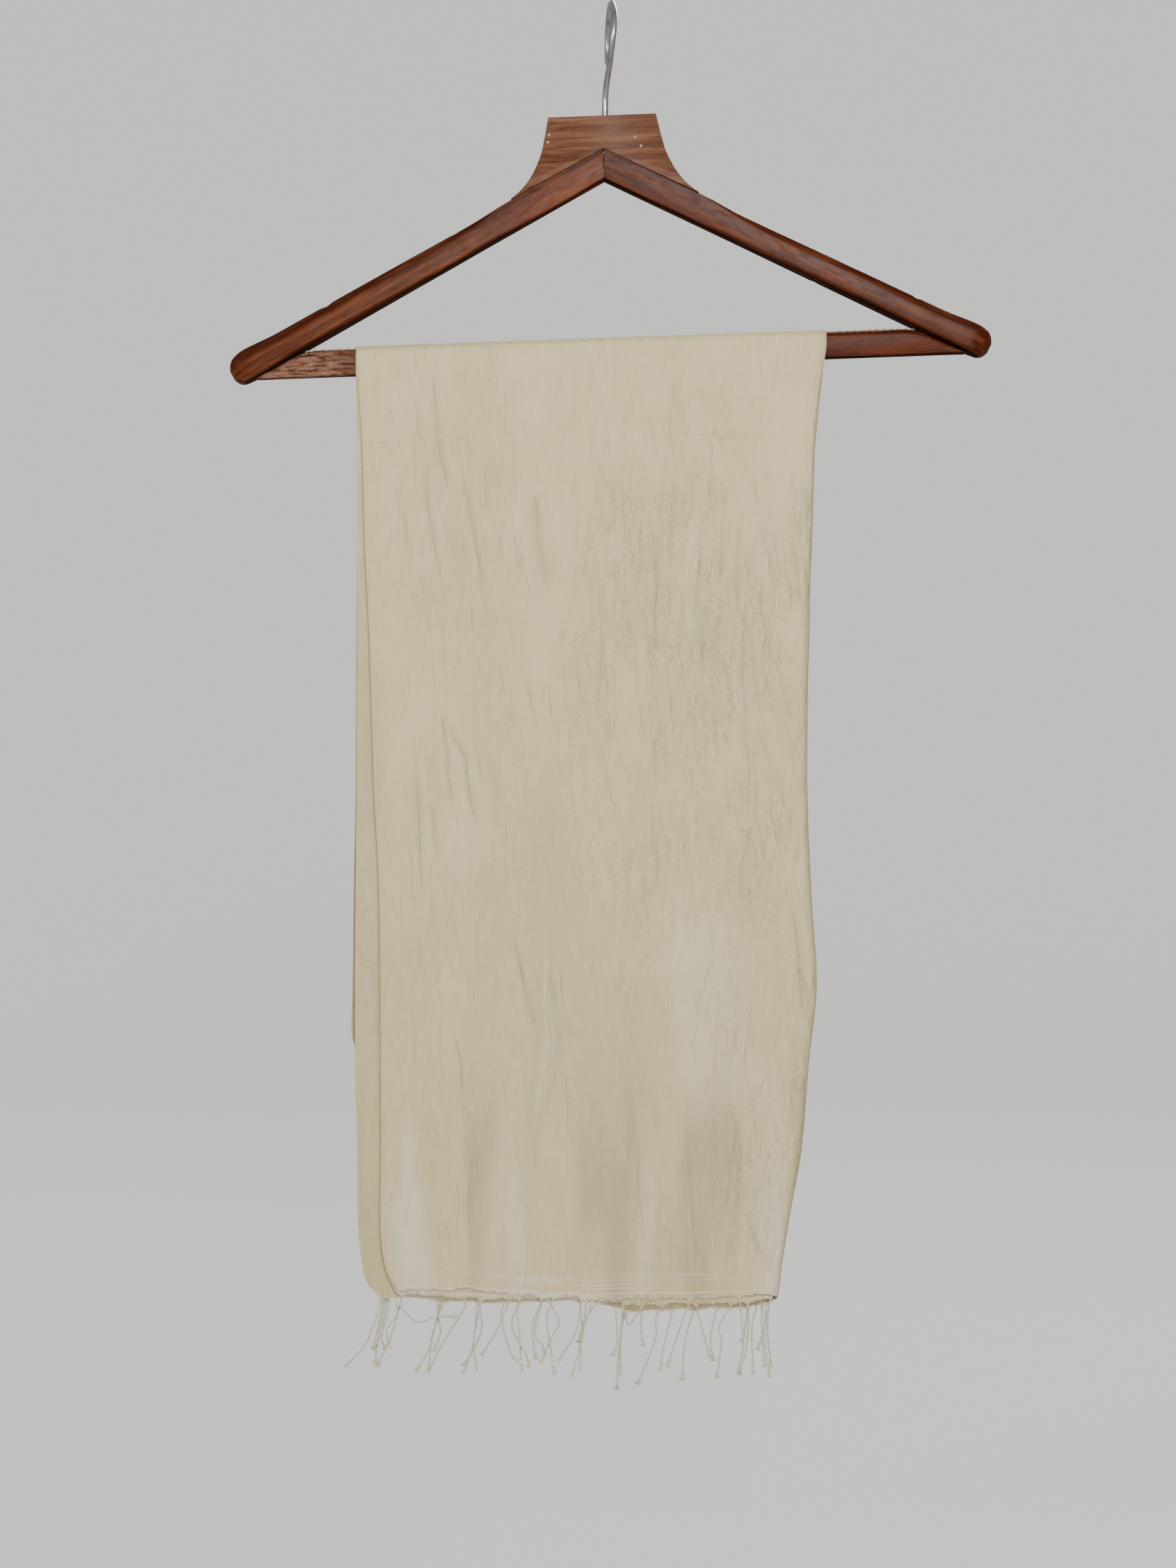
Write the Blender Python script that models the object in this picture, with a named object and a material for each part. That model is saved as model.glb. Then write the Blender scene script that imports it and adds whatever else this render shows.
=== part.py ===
"""Silk scarf folded in four over the trouser bar of a wooden hanger.

Metres, +Z up, front towards -Y. The origin is the inside top of the hook, where it rests on a rod.
The scarf is folded crosswise, so both fringed ends meet, then lengthwise with the fold at the right.
The outer half of the cloth shows all round, and the inner half lies between its two plies.
"""
import math
from collections import namedtuple

import bmesh
import bpy
import numpy as np

MM = 0.001

# Hanger, in its own frame: x from the joint between the arms, z from the origin
TILT = math.radians(2.1)
JOINT_X = -7.7 * MM
ARM_SLOPE = math.radians(27.5)
ARM_APEX_Z = -83.5 * MM
ARM_HEIGHT = 16.3 * MM
ARM_AXIS_Z = ARM_APEX_Z - ARM_HEIGHT / 2 / math.cos(ARM_SLOPE)
BAR_TOP_Z = -196.0 * MM
BAR_HALF_DEPTH = 4.5 * MM
BLOCK_HALF_DEPTH = 6.3 * MM
FIT = 0.3 * MM

Station = namedtuple("Station", "along top bottom half_depth top_round bottom_round")
ARM_STATIONS = (
    Station(0.0, 8.15, 8.15, 6.3, 0.6, 1.2),
    Station(60.0, 8.1, 8.15, 6.5, 0.6, 1.5),
    Station(85.0, 7.4, 8.15, 6.9, 3.0, 2.0),
    Station(110.0, 7.8, 8.15, 7.6, 5.0, 2.0),
    Station(170.0, 8.15, 8.15, 9.0, 5.5, 2.5),
    Station(215.0, 8.3, 8.15, 9.8, 6.0, 2.5),
    Station(238.0, 9.6, 8.15, 9.8, 6.0, 2.5),
    Station(245.0, 8.2, 7.9, 8.6, 5.0, 3.0),
    Station(248.6, 5.6, 6.6, 6.0, 3.5, 3.0),
    Station(250.4, 2.5, 3.5, 3.0, 1.5, 1.5),
)

BlockEdge = namedtuple("BlockEdge", "x z")
BLOCK_SIDE = (
    BlockEdge(31.5, -64.7),
    BlockEdge(34.0, -76.0),
    BlockEdge(36.0, -84.5),
    BlockEdge(39.5, -93.0),
    BlockEdge(43.5, -100.0),
    BlockEdge(49.0, -106.6),
    BlockEdge(55.0, -111.4),
)

BarEnd = namedtuple("BarEnd", "x top bottom")
BAR_END = (
    BarEnd(172.0, 0.0, 15.0),
    BarEnd(180.0, 0.8, 15.0),
    BarEnd(186.0, 3.1, 15.0),
    BarEnd(207.5, 14.4, 15.0),
)
GRIP_HALF_LENGTH = 178.0 * MM
GRIP_HALF_WIDTH = 1.5 * MM
GRIP_BASE = 0.3 * MM
GRIP_RIB = 0.5 * MM
GRIP_PITCH = 4.8 * MM
GRIP_RIBBED_LEFT = -140.0 * MM
GRIP_RIBBED_RIGHT = 128.0 * MM
GRIP_PLAIN_STEPS = 12

HOOK_WIRE = 1.8 * MM
HOOK_BEND = 21.8 * MM
HOOK_CENTRE_Z = -20.0 * MM
HOOK_TURN = math.radians(5.0)
HOOK_SHANK_X = -3.5 * MM
HOOK_FOOT_Z = -80.0 * MM
HOOK_ARC_START = math.radians(52.0)
HOOK_ARC_END = math.radians(297.0)
HOOK_ARC_STEPS = 22
SHANK_HOLE_LENGTH = 22.0 * MM

Waypoint = namedtuple("Waypoint", "x y z")
HOOK_NECK = (
    Waypoint(-3.5, 0.0, -66.0),
    Waypoint(-3.4, 0.0, -53.0),
    Waypoint(-2.9, -2.6, -47.5),
    Waypoint(-1.8, -8.0, -41.2),
)
HOOK_NECK_X = -0.3 * MM

# Scarf: each ply of the outer half is a wall, and the two hidden plies share one
WALL = 1.1 * MM
LAYER = WALL + FIT
REAR_PLY = WALL / 2
MIDDLE_PLY = REAR_PLY + LAYER
FRONT_PLY = MIDDLE_PLY + LAYER
DRAPE_HALF_GAP = 5.0 * MM
DRAPE_TOP_Z = -194.3 * MM
BEND_START_Z = DRAPE_TOP_Z - DRAPE_HALF_GAP
HEM_Z = -756.0 * MM
BACK_END_Z = -610.0 * MM
FOLD_ROLL = 35.0 * MM
MIDDLE_STAGGER = 0.4 * MM
EDGE_CELL = 8.0 * MM
MAIN_COLUMNS = 13
FRONT_LEVELS = 19
BACK_LEVELS = 10
BEND_STEPS = 6
FOLD_STEPS = 4
FOLD_FADE = 0.35
FRONT_TOP_LEVEL_Z = -212.0 * MM
FRONT_LOW_LEVEL_Z = -743.0 * MM
BACK_LOW_LEVEL_Z = -600.0 * MM

# The rounded crosswise fold below the back's plies: drop, and half its thickness over the plies' own
Bead = namedtuple("Bead", "drop fullness")
CROSS_FOLD = (
    Bead(0.35, 1.0),
    Bead(1.6, 1.0),
    Bead(2.7, 0.72),
    Bead(3.2, 0.3),
)

Outline = namedtuple("Outline", "z rear_left front_left right")
FRONT_OUTLINE = (
    Outline(-205.0, -149.4, -148.6, 126.5),
    Outline(-231.0, -149.0, -146.6, 122.3),
    Outline(-255.0, -148.6, -145.2, 119.8),
    Outline(-307.0, -148.5, -143.9, 118.2),
    Outline(-370.0, -148.5, -141.0, 116.0),
    Outline(-451.0, -148.8, -138.5, 114.9),
    Outline(-525.0, -149.4, -135.2, 117.6),
    Outline(-572.0, -149.7, -134.7, 120.5),
    Outline(-621.0, -149.6, -134.5, 115.8),
    Outline(-666.0, -148.4, -134.2, 112.1),
    Outline(-711.0, -148.0, -134.8, 104.4),
    Outline(-739.0, -145.2, -132.2, 100.0),
    Outline(-750.0, -141.9, -128.0, 98.8),
    Outline(-756.0, -135.4, -124.8, 97.6),
)
BACK_OUTLINE = (
    Outline(-205.0, -149.4, -148.6, 126.2),
    Outline(-300.0, -149.4, -145.4, 118.2),
    Outline(-370.0, -149.8, -144.8, 117.4),
    Outline(-451.0, -150.2, -144.8, 114.0),
    Outline(-520.0, -151.4, -145.6, 113.5),
    Outline(-579.0, -152.3, -146.4, 113.0),
    Outline(-600.0, -153.0, -147.0, 112.5),
    Outline(-607.0, -151.8, -146.0, 112.0),
    Outline(-614.0, -149.0, -144.0, 110.0),
)

Hem = namedtuple("Hem", "x front middle rear")
HEM_DROP = (
    Hem(-136.0, -750.6, -753.0, -754.6),
    Hem(-125.0, -751.3, -753.6, -755.0),
    Hem(-106.9, -750.5, -754.2, -756.8),
    Hem(-86.5, -750.0, -755.6, -758.0),
    Hem(-64.5, -752.5, -756.2, -758.6),
    Hem(-34.1, -755.4, -756.2, -757.0),
    Hem(-15.4, -756.2, -757.0, -757.9),
    Hem(4.0, -756.0, -758.6, -761.6),
    Hem(24.0, -755.8, -760.2, -763.9),
    Hem(47.4, -755.8, -759.0, -762.6),
    Hem(67.0, -755.0, -758.6, -762.2),
    Hem(86.9, -753.8, -757.2, -759.8),
    Hem(97.0, -753.0, -755.6, -757.4),
)

Fold = namedtuple("Fold", "x_top z_top x_bottom z_bottom half_width height")
FRONT_FOLDS = (
    Fold(-112.0, -215.0, -86.0, -380.0, 22.0, -1.6),
    Fold(-135.0, -230.0, -125.0, -560.0, 18.0, 1.2),
    Fold(-40.0, -430.0, -20.0, -690.0, 30.0, -3.0),
    Fold(12.0, -560.0, 20.0, -860.0, 34.0, -2.6),
    Fold(55.0, -500.0, 62.0, -690.0, 45.0, 4.2),
    Fold(-85.0, -400.0, -100.0, -700.0, 28.0, 1.8),
    Fold(85.0, -250.0, 80.0, -480.0, 30.0, 1.6),
    Fold(-60.0, -600.0, -75.0, -860.0, 30.0, 2.2),
)
BACK_FOLDS = (
    Fold(-70.0, -250.0, -60.0, -700.0, 40.0, -2.4),
    Fold(30.0, -230.0, 45.0, -700.0, 45.0, 2.6),
    Fold(90.0, -330.0, 80.0, -640.0, 30.0, -1.6),
)

Lean = namedtuple("Lean", "z front back roll_out roll_in")
HANG_LEAN = (
    Lean(-205.0, 0.0, 0.0, 0.0, 0.0),
    Lean(-300.0, 0.8, 0.3, 2.2, 1.4),
    Lean(-450.0, 1.5, 0.8, 3.0, 2.0),
    Lean(-600.0, 1.8, 1.0, 3.2, 2.0),
    Lean(-756.0, 1.2, 1.0, 1.4, 0.8),
)

# Fringe: x and drop below the root of each bend and of the tip, and how far out the strand hangs
STRIP_HEIGHT = 1.1 * MM
STRAND_HALF = 0.42 * MM
ROOT_HALF = 0.5 * MM
ROOT_CLEARANCE = 0.6 * MM
STRAND_STEPS = 4
LANE_DROP = 5.0 * MM

Strand = namedtuple("Strand", "edge lane root_x course")
STRANDS = (
    Strand("rear", 0.55, -134.6, ((-136.9, 11.7), (-143.5, 28.3), (-155.6, 41.6))),
    Strand("rear", -0.9, -133.2, ((-135.6, 14.6), (-139.4, 30.8))),
    Strand("rear", -2.3, -131.8, ((-136.9, 27.8), (-138.1, 39.9))),
    Strand("rear", -3.7, -130.4, ((-134.4, 22.8), (-132.7, 31.2))),
    Strand("rear", 1.95, -129.0, ((-130.6, 11.2), (-135.2, 24.5), (-139.4, 31.2))),
    Strand("rear", 3.05, -126.6, ((-124.8, 10.0), (-131.0, 19.6), (-128.5, 30.4))),
    Strand("rear", 0.55, -122.3, ((-124.8, 11.2), (-129.8, 26.6), (-136.9, 41.2))),
    Strand("middle", 4.3, -121.1, ((-122.7, 7.1), (-112.7, 16.2), (-103.2, 13.3), (-89.9, 12.9))),
    Strand("rear", 0.55, -99.4, ((-103.2, 15.8), (-106.5, 27.8), (-114.0, 41.1))),
    Strand("rear", -0.9, -97.9, ((-104.4, 19.1), (-106.9, 41.6))),
    Strand("rear", -2.3, -100.9, ((-101.5, 8.7), (-99.8, 19.1), (-104.0, 30.3))),
    Strand("middle", 3.05, -85.3, ((-85.7, 6.7), (-96.1, 23.7), (-105.7, 41.6))),
    Strand("rear", 0.55, -78.2, ((-80.3, 24.1), (-86.5, 42.4))),
    Strand("rear", -0.9, -76.8, ((-76.1, 17.4), (-86.1, 37.8))),
    Strand("middle", 1.95, -75.7, ((-79.9, 24.1), (-78.6, 41.6))),
    Strand("front", 4.3, -57.8, ((-66.1, 19.6), (-75.7, 35.4))),
    Strand("rear", 0.55, -62.4, ((-64.1, 9.5), (-58.7, 29.5), (-54.1, 34.9))),
    Strand("front", 6.1, -52.0, ((-57.8, 17.9), (-49.5, 35.0), (-47.8, 42.0))),
    Strand("middle", 1.95, -53.2, ((-54.9, 9.1), (-53.7, 18.7), (-52.0, 42.0))),
    Strand("front", 4.3, -39.9, ((-45.8, 17.1), (-44.1, 35.8))),
    Strand("rear", 0.55, -40.8, ((-44.5, 18.7), (-39.9, 25.8), (-38.3, 32.1))),
    Strand("middle", 1.95, -37.4, ((-30.4, 13.3), (-34.9, 22.9), (-41.2, 37.4))),
    Strand("front", 6.1, -32.9, ((-37.4, 12.5), (-32.9, 44.1))),
    Strand("front", 4.3, -17.0, ((-20.4, 18.7), (-30.8, 36.2))),
    Strand("rear", 0.55, -18.3, ((-17.1, 17.1), (-18.3, 40.8))),
    Strand("front", 6.1, -14.4, ((-17.1, 22.9), (-22.9, 44.9))),
    Strand("front", 7.9, -10.8, ((-14.6, 11.7), (-18.3, 23.3))),
    Strand("middle", 3.05, -7.1, ((-15.4, 10.8), (-19.1, 24.1))),
    Strand("rear", 0.55, 2.5, ((3.7, 20.0), (0.8, 29.2))),
    Strand("middle", 1.95, 7.1, ((4.2, 32.5), (3.3, 50.8))),
    Strand("rear", -0.9, 7.9, ((5.8, 17.1), (5.4, 37.5))),
    Strand("front", 4.3, 24.5, ((19.6, 3.6), (10.4, 15.8), (8.3, 8.3))),
    Strand("rear", 0.55, 18.3, ((17.5, 9.1), (18.7, 21.2))),
    Strand("middle", 1.95, 30.8, ((26.2, 7.6), (26.2, 19.2), (17.5, 41.7), (15.0, 46.7))),
    Strand("rear", 0.55, 36.2, ((31.2, 20.8), (28.7, 36.2))),
    Strand("front", 4.3, 46.6, ((38.7, 21.5), (32.9, 40.2))),
    Strand("rear", 0.55, 48.3, ((43.3, 18.7), (41.6, 41.6))),
    Strand("middle", 1.95, 49.1, ((54.1, 18.4), (57.8, 31.7))),
    Strand("rear", 0.55, 62.0, ((58.2, 18.7), (59.9, 31.6))),
    Strand("middle", 1.95, 71.1, ((62.8, 14.9), (64.5, 22.8), (61.6, 44.0))),
    Strand("front", 4.3, 74.9, ((77.0, 27.0), (74.0, 43.2))),
    Strand("rear", 0.55, 80.3, ((79.5, 22.1), (74.9, 40.4))),
    Strand("middle", 1.95, 79.9, ((77.8, 18.2), (76.1, 23.2))),
    Strand("rear", -0.9, 85.3, ((82.4, 14.5), (83.2, 40.3))),
    Strand("rear", -3.7, 88.4, ((88.6, 21.2), (89.9, 37.8))),
    Strand("rear", -0.9, 92.3, ((91.5, 17.1), (93.6, 38.3))),
    Strand("front", 4.3, 93.4, ((88.6, 22.4), (85.3, 32.8))),
    Strand("rear", 0.55, 90.6, ((89.9, 21.7), (92.8, 43.3))),
)


def clear_scene():
    for item in list(bpy.data.objects):
        bpy.data.objects.remove(item, do_unlink=True)


def plain_material(name, colour, roughness, metallic=0.0):
    material = bpy.data.materials.new(name)
    material.use_nodes = True
    shader = material.node_tree.nodes["Principled BSDF"]
    shader.inputs["Base Color"].default_value = (*colour, 1.0)
    shader.inputs["Roughness"].default_value = roughness
    shader.inputs["Metallic"].default_value = metallic
    return material


def add_object(name, points, faces, material, parent=None, smooth_angle=None):
    """One closed mesh object with its faces turned outwards."""
    mesh = bpy.data.meshes.new(name)
    mesh.from_pydata([tuple(map(float, point)) for point in points], [], faces)
    shape = bmesh.new()
    shape.from_mesh(mesh)
    bmesh.ops.recalc_face_normals(shape, faces=shape.faces)
    shape.to_mesh(mesh)
    shape.free()
    mesh.materials.append(material)
    if smooth_angle is not None:
        mesh.shade_smooth()
        mesh.set_sharp_from_angle(angle=smooth_angle)
    item = bpy.data.objects.new(name, mesh)
    item.parent = parent
    bpy.context.scene.collection.objects.link(item)
    return item


def loft(rings):
    """Points and faces of a closed body through rings of equal counts."""
    count = len(rings[0])
    points = [point for ring in rings for point in ring]
    faces = [list(range(count)), [len(points) - 1 - k for k in range(count)]]
    for level in range(len(rings) - 1):
        start = level * count
        for k in range(count):
            after = (k + 1) % count
            faces.append([start + k, start + after, start + count + after, start + count + k])
    return points, faces


def through(value, places, heights):
    """A smooth curve through the given heights, with no overshoot between them."""
    order = np.argsort(places)
    xs = np.asarray(places, float)[order]
    ys = np.asarray(heights, float)[order]
    steps = np.diff(xs)
    slopes = np.diff(ys) / steps
    tangents = np.zeros(len(xs))
    for k in range(1, len(xs) - 1):
        if slopes[k - 1] * slopes[k] > 0.0:
            tangents[k] = 2.0 / (1.0 / slopes[k - 1] + 1.0 / slopes[k])
    tangents[0] = slopes[0]
    tangents[-1] = slopes[-1]
    clamped = min(max(value, xs[0]), xs[-1])
    cell = min(int(np.searchsorted(xs, clamped, side="right")) - 1, len(steps) - 1)
    t = (clamped - xs[cell]) / steps[cell]
    rise = (
        (1 + 2 * t) * (1 - t) ** 2 * ys[cell]
        + t * (1 - t) ** 2 * steps[cell] * tangents[cell]
        + t * t * (3 - 2 * t) * ys[cell + 1]
        - t * t * (1 - t) * steps[cell] * tangents[cell + 1]
    )
    return float(rise)


def from_table(rows, key, column, value):
    """A table's column in metres, at this value of its key in metres."""
    places = [getattr(row, key) * MM for row in rows]
    heights = [getattr(row, column) * MM for row in rows]
    return through(value, places, heights)


def ease(t):
    held = min(max(t, 0.0), 1.0)
    return held * held * (3.0 - 2.0 * held)


def round_section(half_width, top, bottom, top_round, bottom_round):
    """Corner points of a rounded rectangle, as (across, up) pairs."""
    corners = (
        (half_width, top, top_round, 0),
        (-half_width, top, top_round, 1),
        (-half_width, bottom, bottom_round, 2),
        (half_width, bottom, bottom_round, 3),
    )
    section = []
    for across, up, radius, quarter in corners:
        centre_across = across - math.copysign(radius, across)
        centre_up = up - radius if up == top else up + radius
        for step in range(3):
            angle = (quarter + step / 2) * math.pi / 2
            section.append((centre_across + radius * math.cos(angle), centre_up + radius * math.sin(angle)))
    return section


def hanger_arm(name, side, material, frame):
    """A sloping arm, cut upright at the joint between the arms and rounded at its end."""
    cos_slope = math.cos(ARM_SLOPE)
    sin_slope = math.sin(ARM_SLOPE)
    rings = []
    for index, station in enumerate(ARM_STATIONS):
        section = round_section(
            station.half_depth * MM, station.top * MM, -station.bottom * MM,
            station.top_round * MM, station.bottom_round * MM,
        )
        ring = []
        for across, up in section:
            along = station.along * MM
            if index == 0:
                along = (FIT / 2 - up * sin_slope) / cos_slope
            x = along * cos_slope + up * sin_slope
            z = ARM_AXIS_Z - along * sin_slope + up * cos_slope
            ring.append((JOINT_X + side * x, across, z))
        rings.append(ring)
    return add_object(name, *loft(rings), material, frame, math.radians(40))


def arm_upper_edge(x):
    return ARM_APEX_Z - abs(x) * math.tan(ARM_SLOPE)


def hanger_block(material, frame):
    """The block that fills the fork above the arms, with hollowed sides."""
    right = [(edge.x * MM, edge.z * MM) for edge in BLOCK_SIDE]
    lift = FIT / math.cos(ARM_SLOPE)
    toe = (right[-1][0], arm_upper_edge(right[-1][0]) + lift)
    outline = right + [toe, (0.0, ARM_APEX_Z + lift)]
    outline += [(-x, z) for x, z in reversed(right + [toe])]
    front = [(JOINT_X + x, -BLOCK_HALF_DEPTH, z) for x, z in outline]
    back = [(x, BLOCK_HALF_DEPTH, z) for x, _, z in front]
    block = add_object("hanger_block", *loft([front, back]), material, frame)
    shape = bmesh.new()
    shape.from_mesh(block.data)
    bmesh.ops.triangulate(shape, faces=shape.faces, ngon_method="EAR_CLIP")
    shape.to_mesh(block.data)
    shape.free()
    return block


def shank_hole(block):
    """Bores the block for the hook's shank, which stands upright in the leaning block."""
    bpy.ops.mesh.primitive_cylinder_add(
        vertices=16, radius=HOOK_WIRE + FIT, depth=SHANK_HOLE_LENGTH,
        location=(HOOK_SHANK_X, 0.0, HOOK_FOOT_Z - FIT + SHANK_HOLE_LENGTH / 2),
    )
    cutter = bpy.context.object
    cutter.name = "shank_hole"
    cutter.hide_render = True
    cutter.display_type = "WIRE"
    bore = block.modifiers.new("shank_hole", "BOOLEAN")
    bore.object = cutter
    bore.operation = "DIFFERENCE"


def bar_lowering(x):
    """How far the bar's top and its underside lie below its top line, here."""
    ends = [end.x * MM for end in BAR_END]
    top = np.interp(abs(x), ends, [end.top * MM for end in BAR_END])
    bottom = np.interp(abs(x), ends, [end.bottom * MM for end in BAR_END])
    return float(top), float(bottom)


def hanger_bar(material, frame):
    """The trouser bar: rounded above, with ends cut to lie against the arms."""
    rings = []
    for side in (-1, 1):
        ends = reversed(BAR_END) if side < 0 else BAR_END
        for end in ends:
            top, bottom = bar_lowering(end.x * MM)
            rounding = min(3.0 * MM, (bottom - top) * 0.45)
            section = round_section(
                BAR_HALF_DEPTH, BAR_TOP_Z - top, BAR_TOP_Z - bottom, rounding, rounding / 3,
            )
            rings.append([(JOINT_X + side * end.x * MM, across, up) for across, up in section])
    return add_object("hanger_bar", *loft(rings), material, frame, math.radians(40))


def grip_strip(material, frame):
    """The ribbed strip along the bar's top, plain where the scarf hides it."""
    half_pitch = GRIP_PITCH / 2
    count = int(GRIP_HALF_LENGTH / half_pitch)
    rings = []
    for k in range(-count, count + 1):
        x = k * half_pitch
        ribbed = x < GRIP_RIBBED_LEFT or x > GRIP_RIBBED_RIGHT
        if not ribbed and k % GRIP_PLAIN_STEPS:
            continue
        rib = GRIP_RIB if ribbed and k % 2 else 0.0
        low = BAR_TOP_Z - bar_lowering(x)[0] + FIT
        high = low + GRIP_BASE + rib
        rings.append([
            (JOINT_X + x, -GRIP_HALF_WIDTH, low), (JOINT_X + x, GRIP_HALF_WIDTH, low),
            (JOINT_X + x, GRIP_HALF_WIDTH, high), (JOINT_X + x, -GRIP_HALF_WIDTH, high),
        ])
    return add_object("hanger_grip_strip", *loft(rings), material, frame)


def hook_route():
    """The hook's centre line, from its foot in the block round to its free end."""
    points = [(HOOK_SHANK_X, 0.0, HOOK_FOOT_Z)]
    points += [(place.x * MM, place.y * MM, place.z * MM) for place in HOOK_NECK]
    for k in range(HOOK_ARC_STEPS + 1):
        angle = HOOK_ARC_START + (HOOK_ARC_END - HOOK_ARC_START) * k / HOOK_ARC_STEPS
        y = -HOOK_BEND * math.sin(angle)
        z = HOOK_CENTRE_Z - HOOK_BEND * math.cos(angle)
        settle = ease(k / 5)
        x = -y * math.tan(HOOK_TURN) * settle + HOOK_NECK_X * (1 - settle)
        points.append((x, y, z))
    return points


def hanger_hook(material):
    curve = bpy.data.curves.new("hanger_hook", "CURVE")
    curve.dimensions = "3D"
    curve.bevel_depth = HOOK_WIRE
    curve.bevel_resolution = 2
    curve.use_fill_caps = True
    route = hook_route()
    spline = curve.splines.new("POLY")
    spline.points.add(len(route) - 1)
    for point, place in zip(spline.points, route):
        point.co = (*place, 1.0)
    curve.materials.append(material)
    hook = bpy.data.objects.new("hanger_hook", curve)
    bpy.context.scene.collection.objects.link(hook)
    return hook


def fold_height(folds, x, z):
    """How far the folds of a hang push it outwards at this place."""
    height = 0.0
    for fold in folds:
        down = (fold.z_top * MM - z) / ((fold.z_top - fold.z_bottom) * MM)
        if not 0.0 < down < 1.0:
            continue
        centre = (fold.x_top + (fold.x_bottom - fold.x_top) * down) * MM
        across = abs(x - centre) / (fold.half_width * MM)
        if across < 1.0:
            fade = ease(down / FOLD_FADE) * ease((1.0 - down) / FOLD_FADE)
            height += fold.height * MM * fade * (0.5 + 0.5 * math.cos(math.pi * across))
    return height


def hem_height(column, x):
    return from_table(HEM_DROP, "x", column, x)


Row = namedtuple("Row", "part z turn")


def drape_rows():
    """Rows of the cloth from the front hem up, over the bar and down the back."""
    rows = [Row("front", HEM_Z, 0.0)]
    rows += [Row("front", z, 0.0) for z in np.linspace(FRONT_LOW_LEVEL_Z, FRONT_TOP_LEVEL_Z, FRONT_LEVELS)]
    rows += [Row("bend", BEND_START_Z, math.pi * k / BEND_STEPS) for k in range(BEND_STEPS + 1)]
    rows += [Row("back", z, 0.0) for z in np.linspace(FRONT_TOP_LEVEL_Z, BACK_LOW_LEVEL_Z, BACK_LEVELS)]
    return rows + [Row("back", BACK_END_Z, 0.0)]


def drape_point(row, x, depth, hem="rear"):
    """The cloth's point at x, this far out from the face that lies on the bar."""
    slope = x * math.tan(TILT)
    if row.part == "bend":
        reach = DRAPE_HALF_GAP + depth
        return (x, -math.cos(row.turn) * reach, BEND_START_Z + slope + math.sin(row.turn) * reach)
    side = -1.0 if row.part == "front" else 1.0
    folds = FRONT_FOLDS if row.part == "front" else BACK_FOLDS
    out = DRAPE_HALF_GAP + depth + from_table(HANG_LEAN, "z", row.part, row.z) + fold_height(folds, x, row.z)
    if row.z <= HEM_Z:
        return (x, side * out, hem_height(hem, x))
    low = HEM_Z if row.part == "front" else BACK_END_Z
    share = max((row.z - low) / (BEND_START_Z - low), 0.0)
    return (x, side * out, row.z + slope * share)


def rolls(row):
    """How far the front and rear plies part from the middle at the lengthwise fold."""
    if row.part == "bend":
        return 0.0, 0.0
    return (from_table(HANG_LEAN, "z", "roll_out", row.z), from_table(HANG_LEAN, "z", "roll_in", row.z))


def fold_radius(row):
    return LAYER + sum(rolls(row)) / 2


def row_columns(row):
    """x of every column: the three staggered edges at the left, then even steps to the fold."""
    table = BACK_OUTLINE if row.part == "back" else FRONT_OUTLINE
    rear_left = from_table(table, "z", "rear_left", row.z)
    front_left = from_table(table, "z", "front_left", row.z)
    last = from_table(table, "z", "right", row.z) - WALL / 2 - fold_radius(row)
    inner = np.linspace(front_left, last - EDGE_CELL, MAIN_COLUMNS + 1)[1:]
    return [rear_left, front_left - MIDDLE_STAGGER, front_left] + [float(x) for x in inner] + [last]


def outer_row(row, offset):
    """One row of the outer half: front ply, lengthwise fold and rear ply, moved out by offset."""
    columns = row_columns(row)
    last = columns[-1]
    out, inwards = rolls(row)
    radius = fold_radius(row)
    swell = [ease((x - last + FOLD_ROLL) / FOLD_ROLL) for x in columns]
    points = []
    for x, part in zip(columns[2:], swell[2:]):
        points.append(drape_point(row, x, FRONT_PLY + offset + out * part, "front"))
    middle = (FRONT_PLY + out + REAR_PLY - inwards) / 2
    for step in range(1, FOLD_STEPS):
        angle = math.pi / 2 - math.pi * step / FOLD_STEPS
        depth = middle + (radius + offset) * math.sin(angle)
        front = drape_point(row, last, depth, "front")
        rear = drape_point(row, last, depth, "rear")
        share = step / FOLD_STEPS
        x = last + (radius + offset) * math.cos(angle)
        points.append((x, front[1], front[2] * (1 - share) + rear[2] * share))
    for x, part in reversed(list(zip(columns, swell))):
        points.append(drape_point(row, x, REAR_PLY - offset - inwards * part, "rear"))
    return points


def cloth_body(name, outer, inner, turn_column, material):
    """A closed wall between two grids of points with the same rows and columns.

    Its cells are split along the same diagonal in every ply, so that plies stay evenly apart.
    The columns run back to the left from turn_column on.
    """
    rows = len(outer)
    columns = len(outer[0])
    points = [point for grid in (outer, inner) for row in grid for point in row]
    other = rows * columns
    faces = []
    for r in range(rows - 1):
        for c in range(columns - 1):
            corner = r * columns + c
            quad = [corner, corner + 1, corner + columns + 1, corner + columns]
            if c >= turn_column:
                quad = quad[1:] + quad[:1]
            for triangle in ((quad[0], quad[1], quad[2]), (quad[0], quad[2], quad[3])):
                faces.append(list(triangle))
                faces.append([other + k for k in reversed(triangle)])
    rim = list(range(columns - 1)) + [r * columns + columns - 1 for r in range(rows - 1)]
    rim += [(rows - 1) * columns + c for c in range(columns - 1, 0, -1)]
    rim += [r * columns for r in range(rows - 1, 0, -1)]
    for k, start in enumerate(rim):
        end = rim[(k + 1) % len(rim)]
        faces.append([start, end, other + end, other + start])
    return add_object(name, points, faces, material, smooth_angle=math.radians(60))


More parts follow.
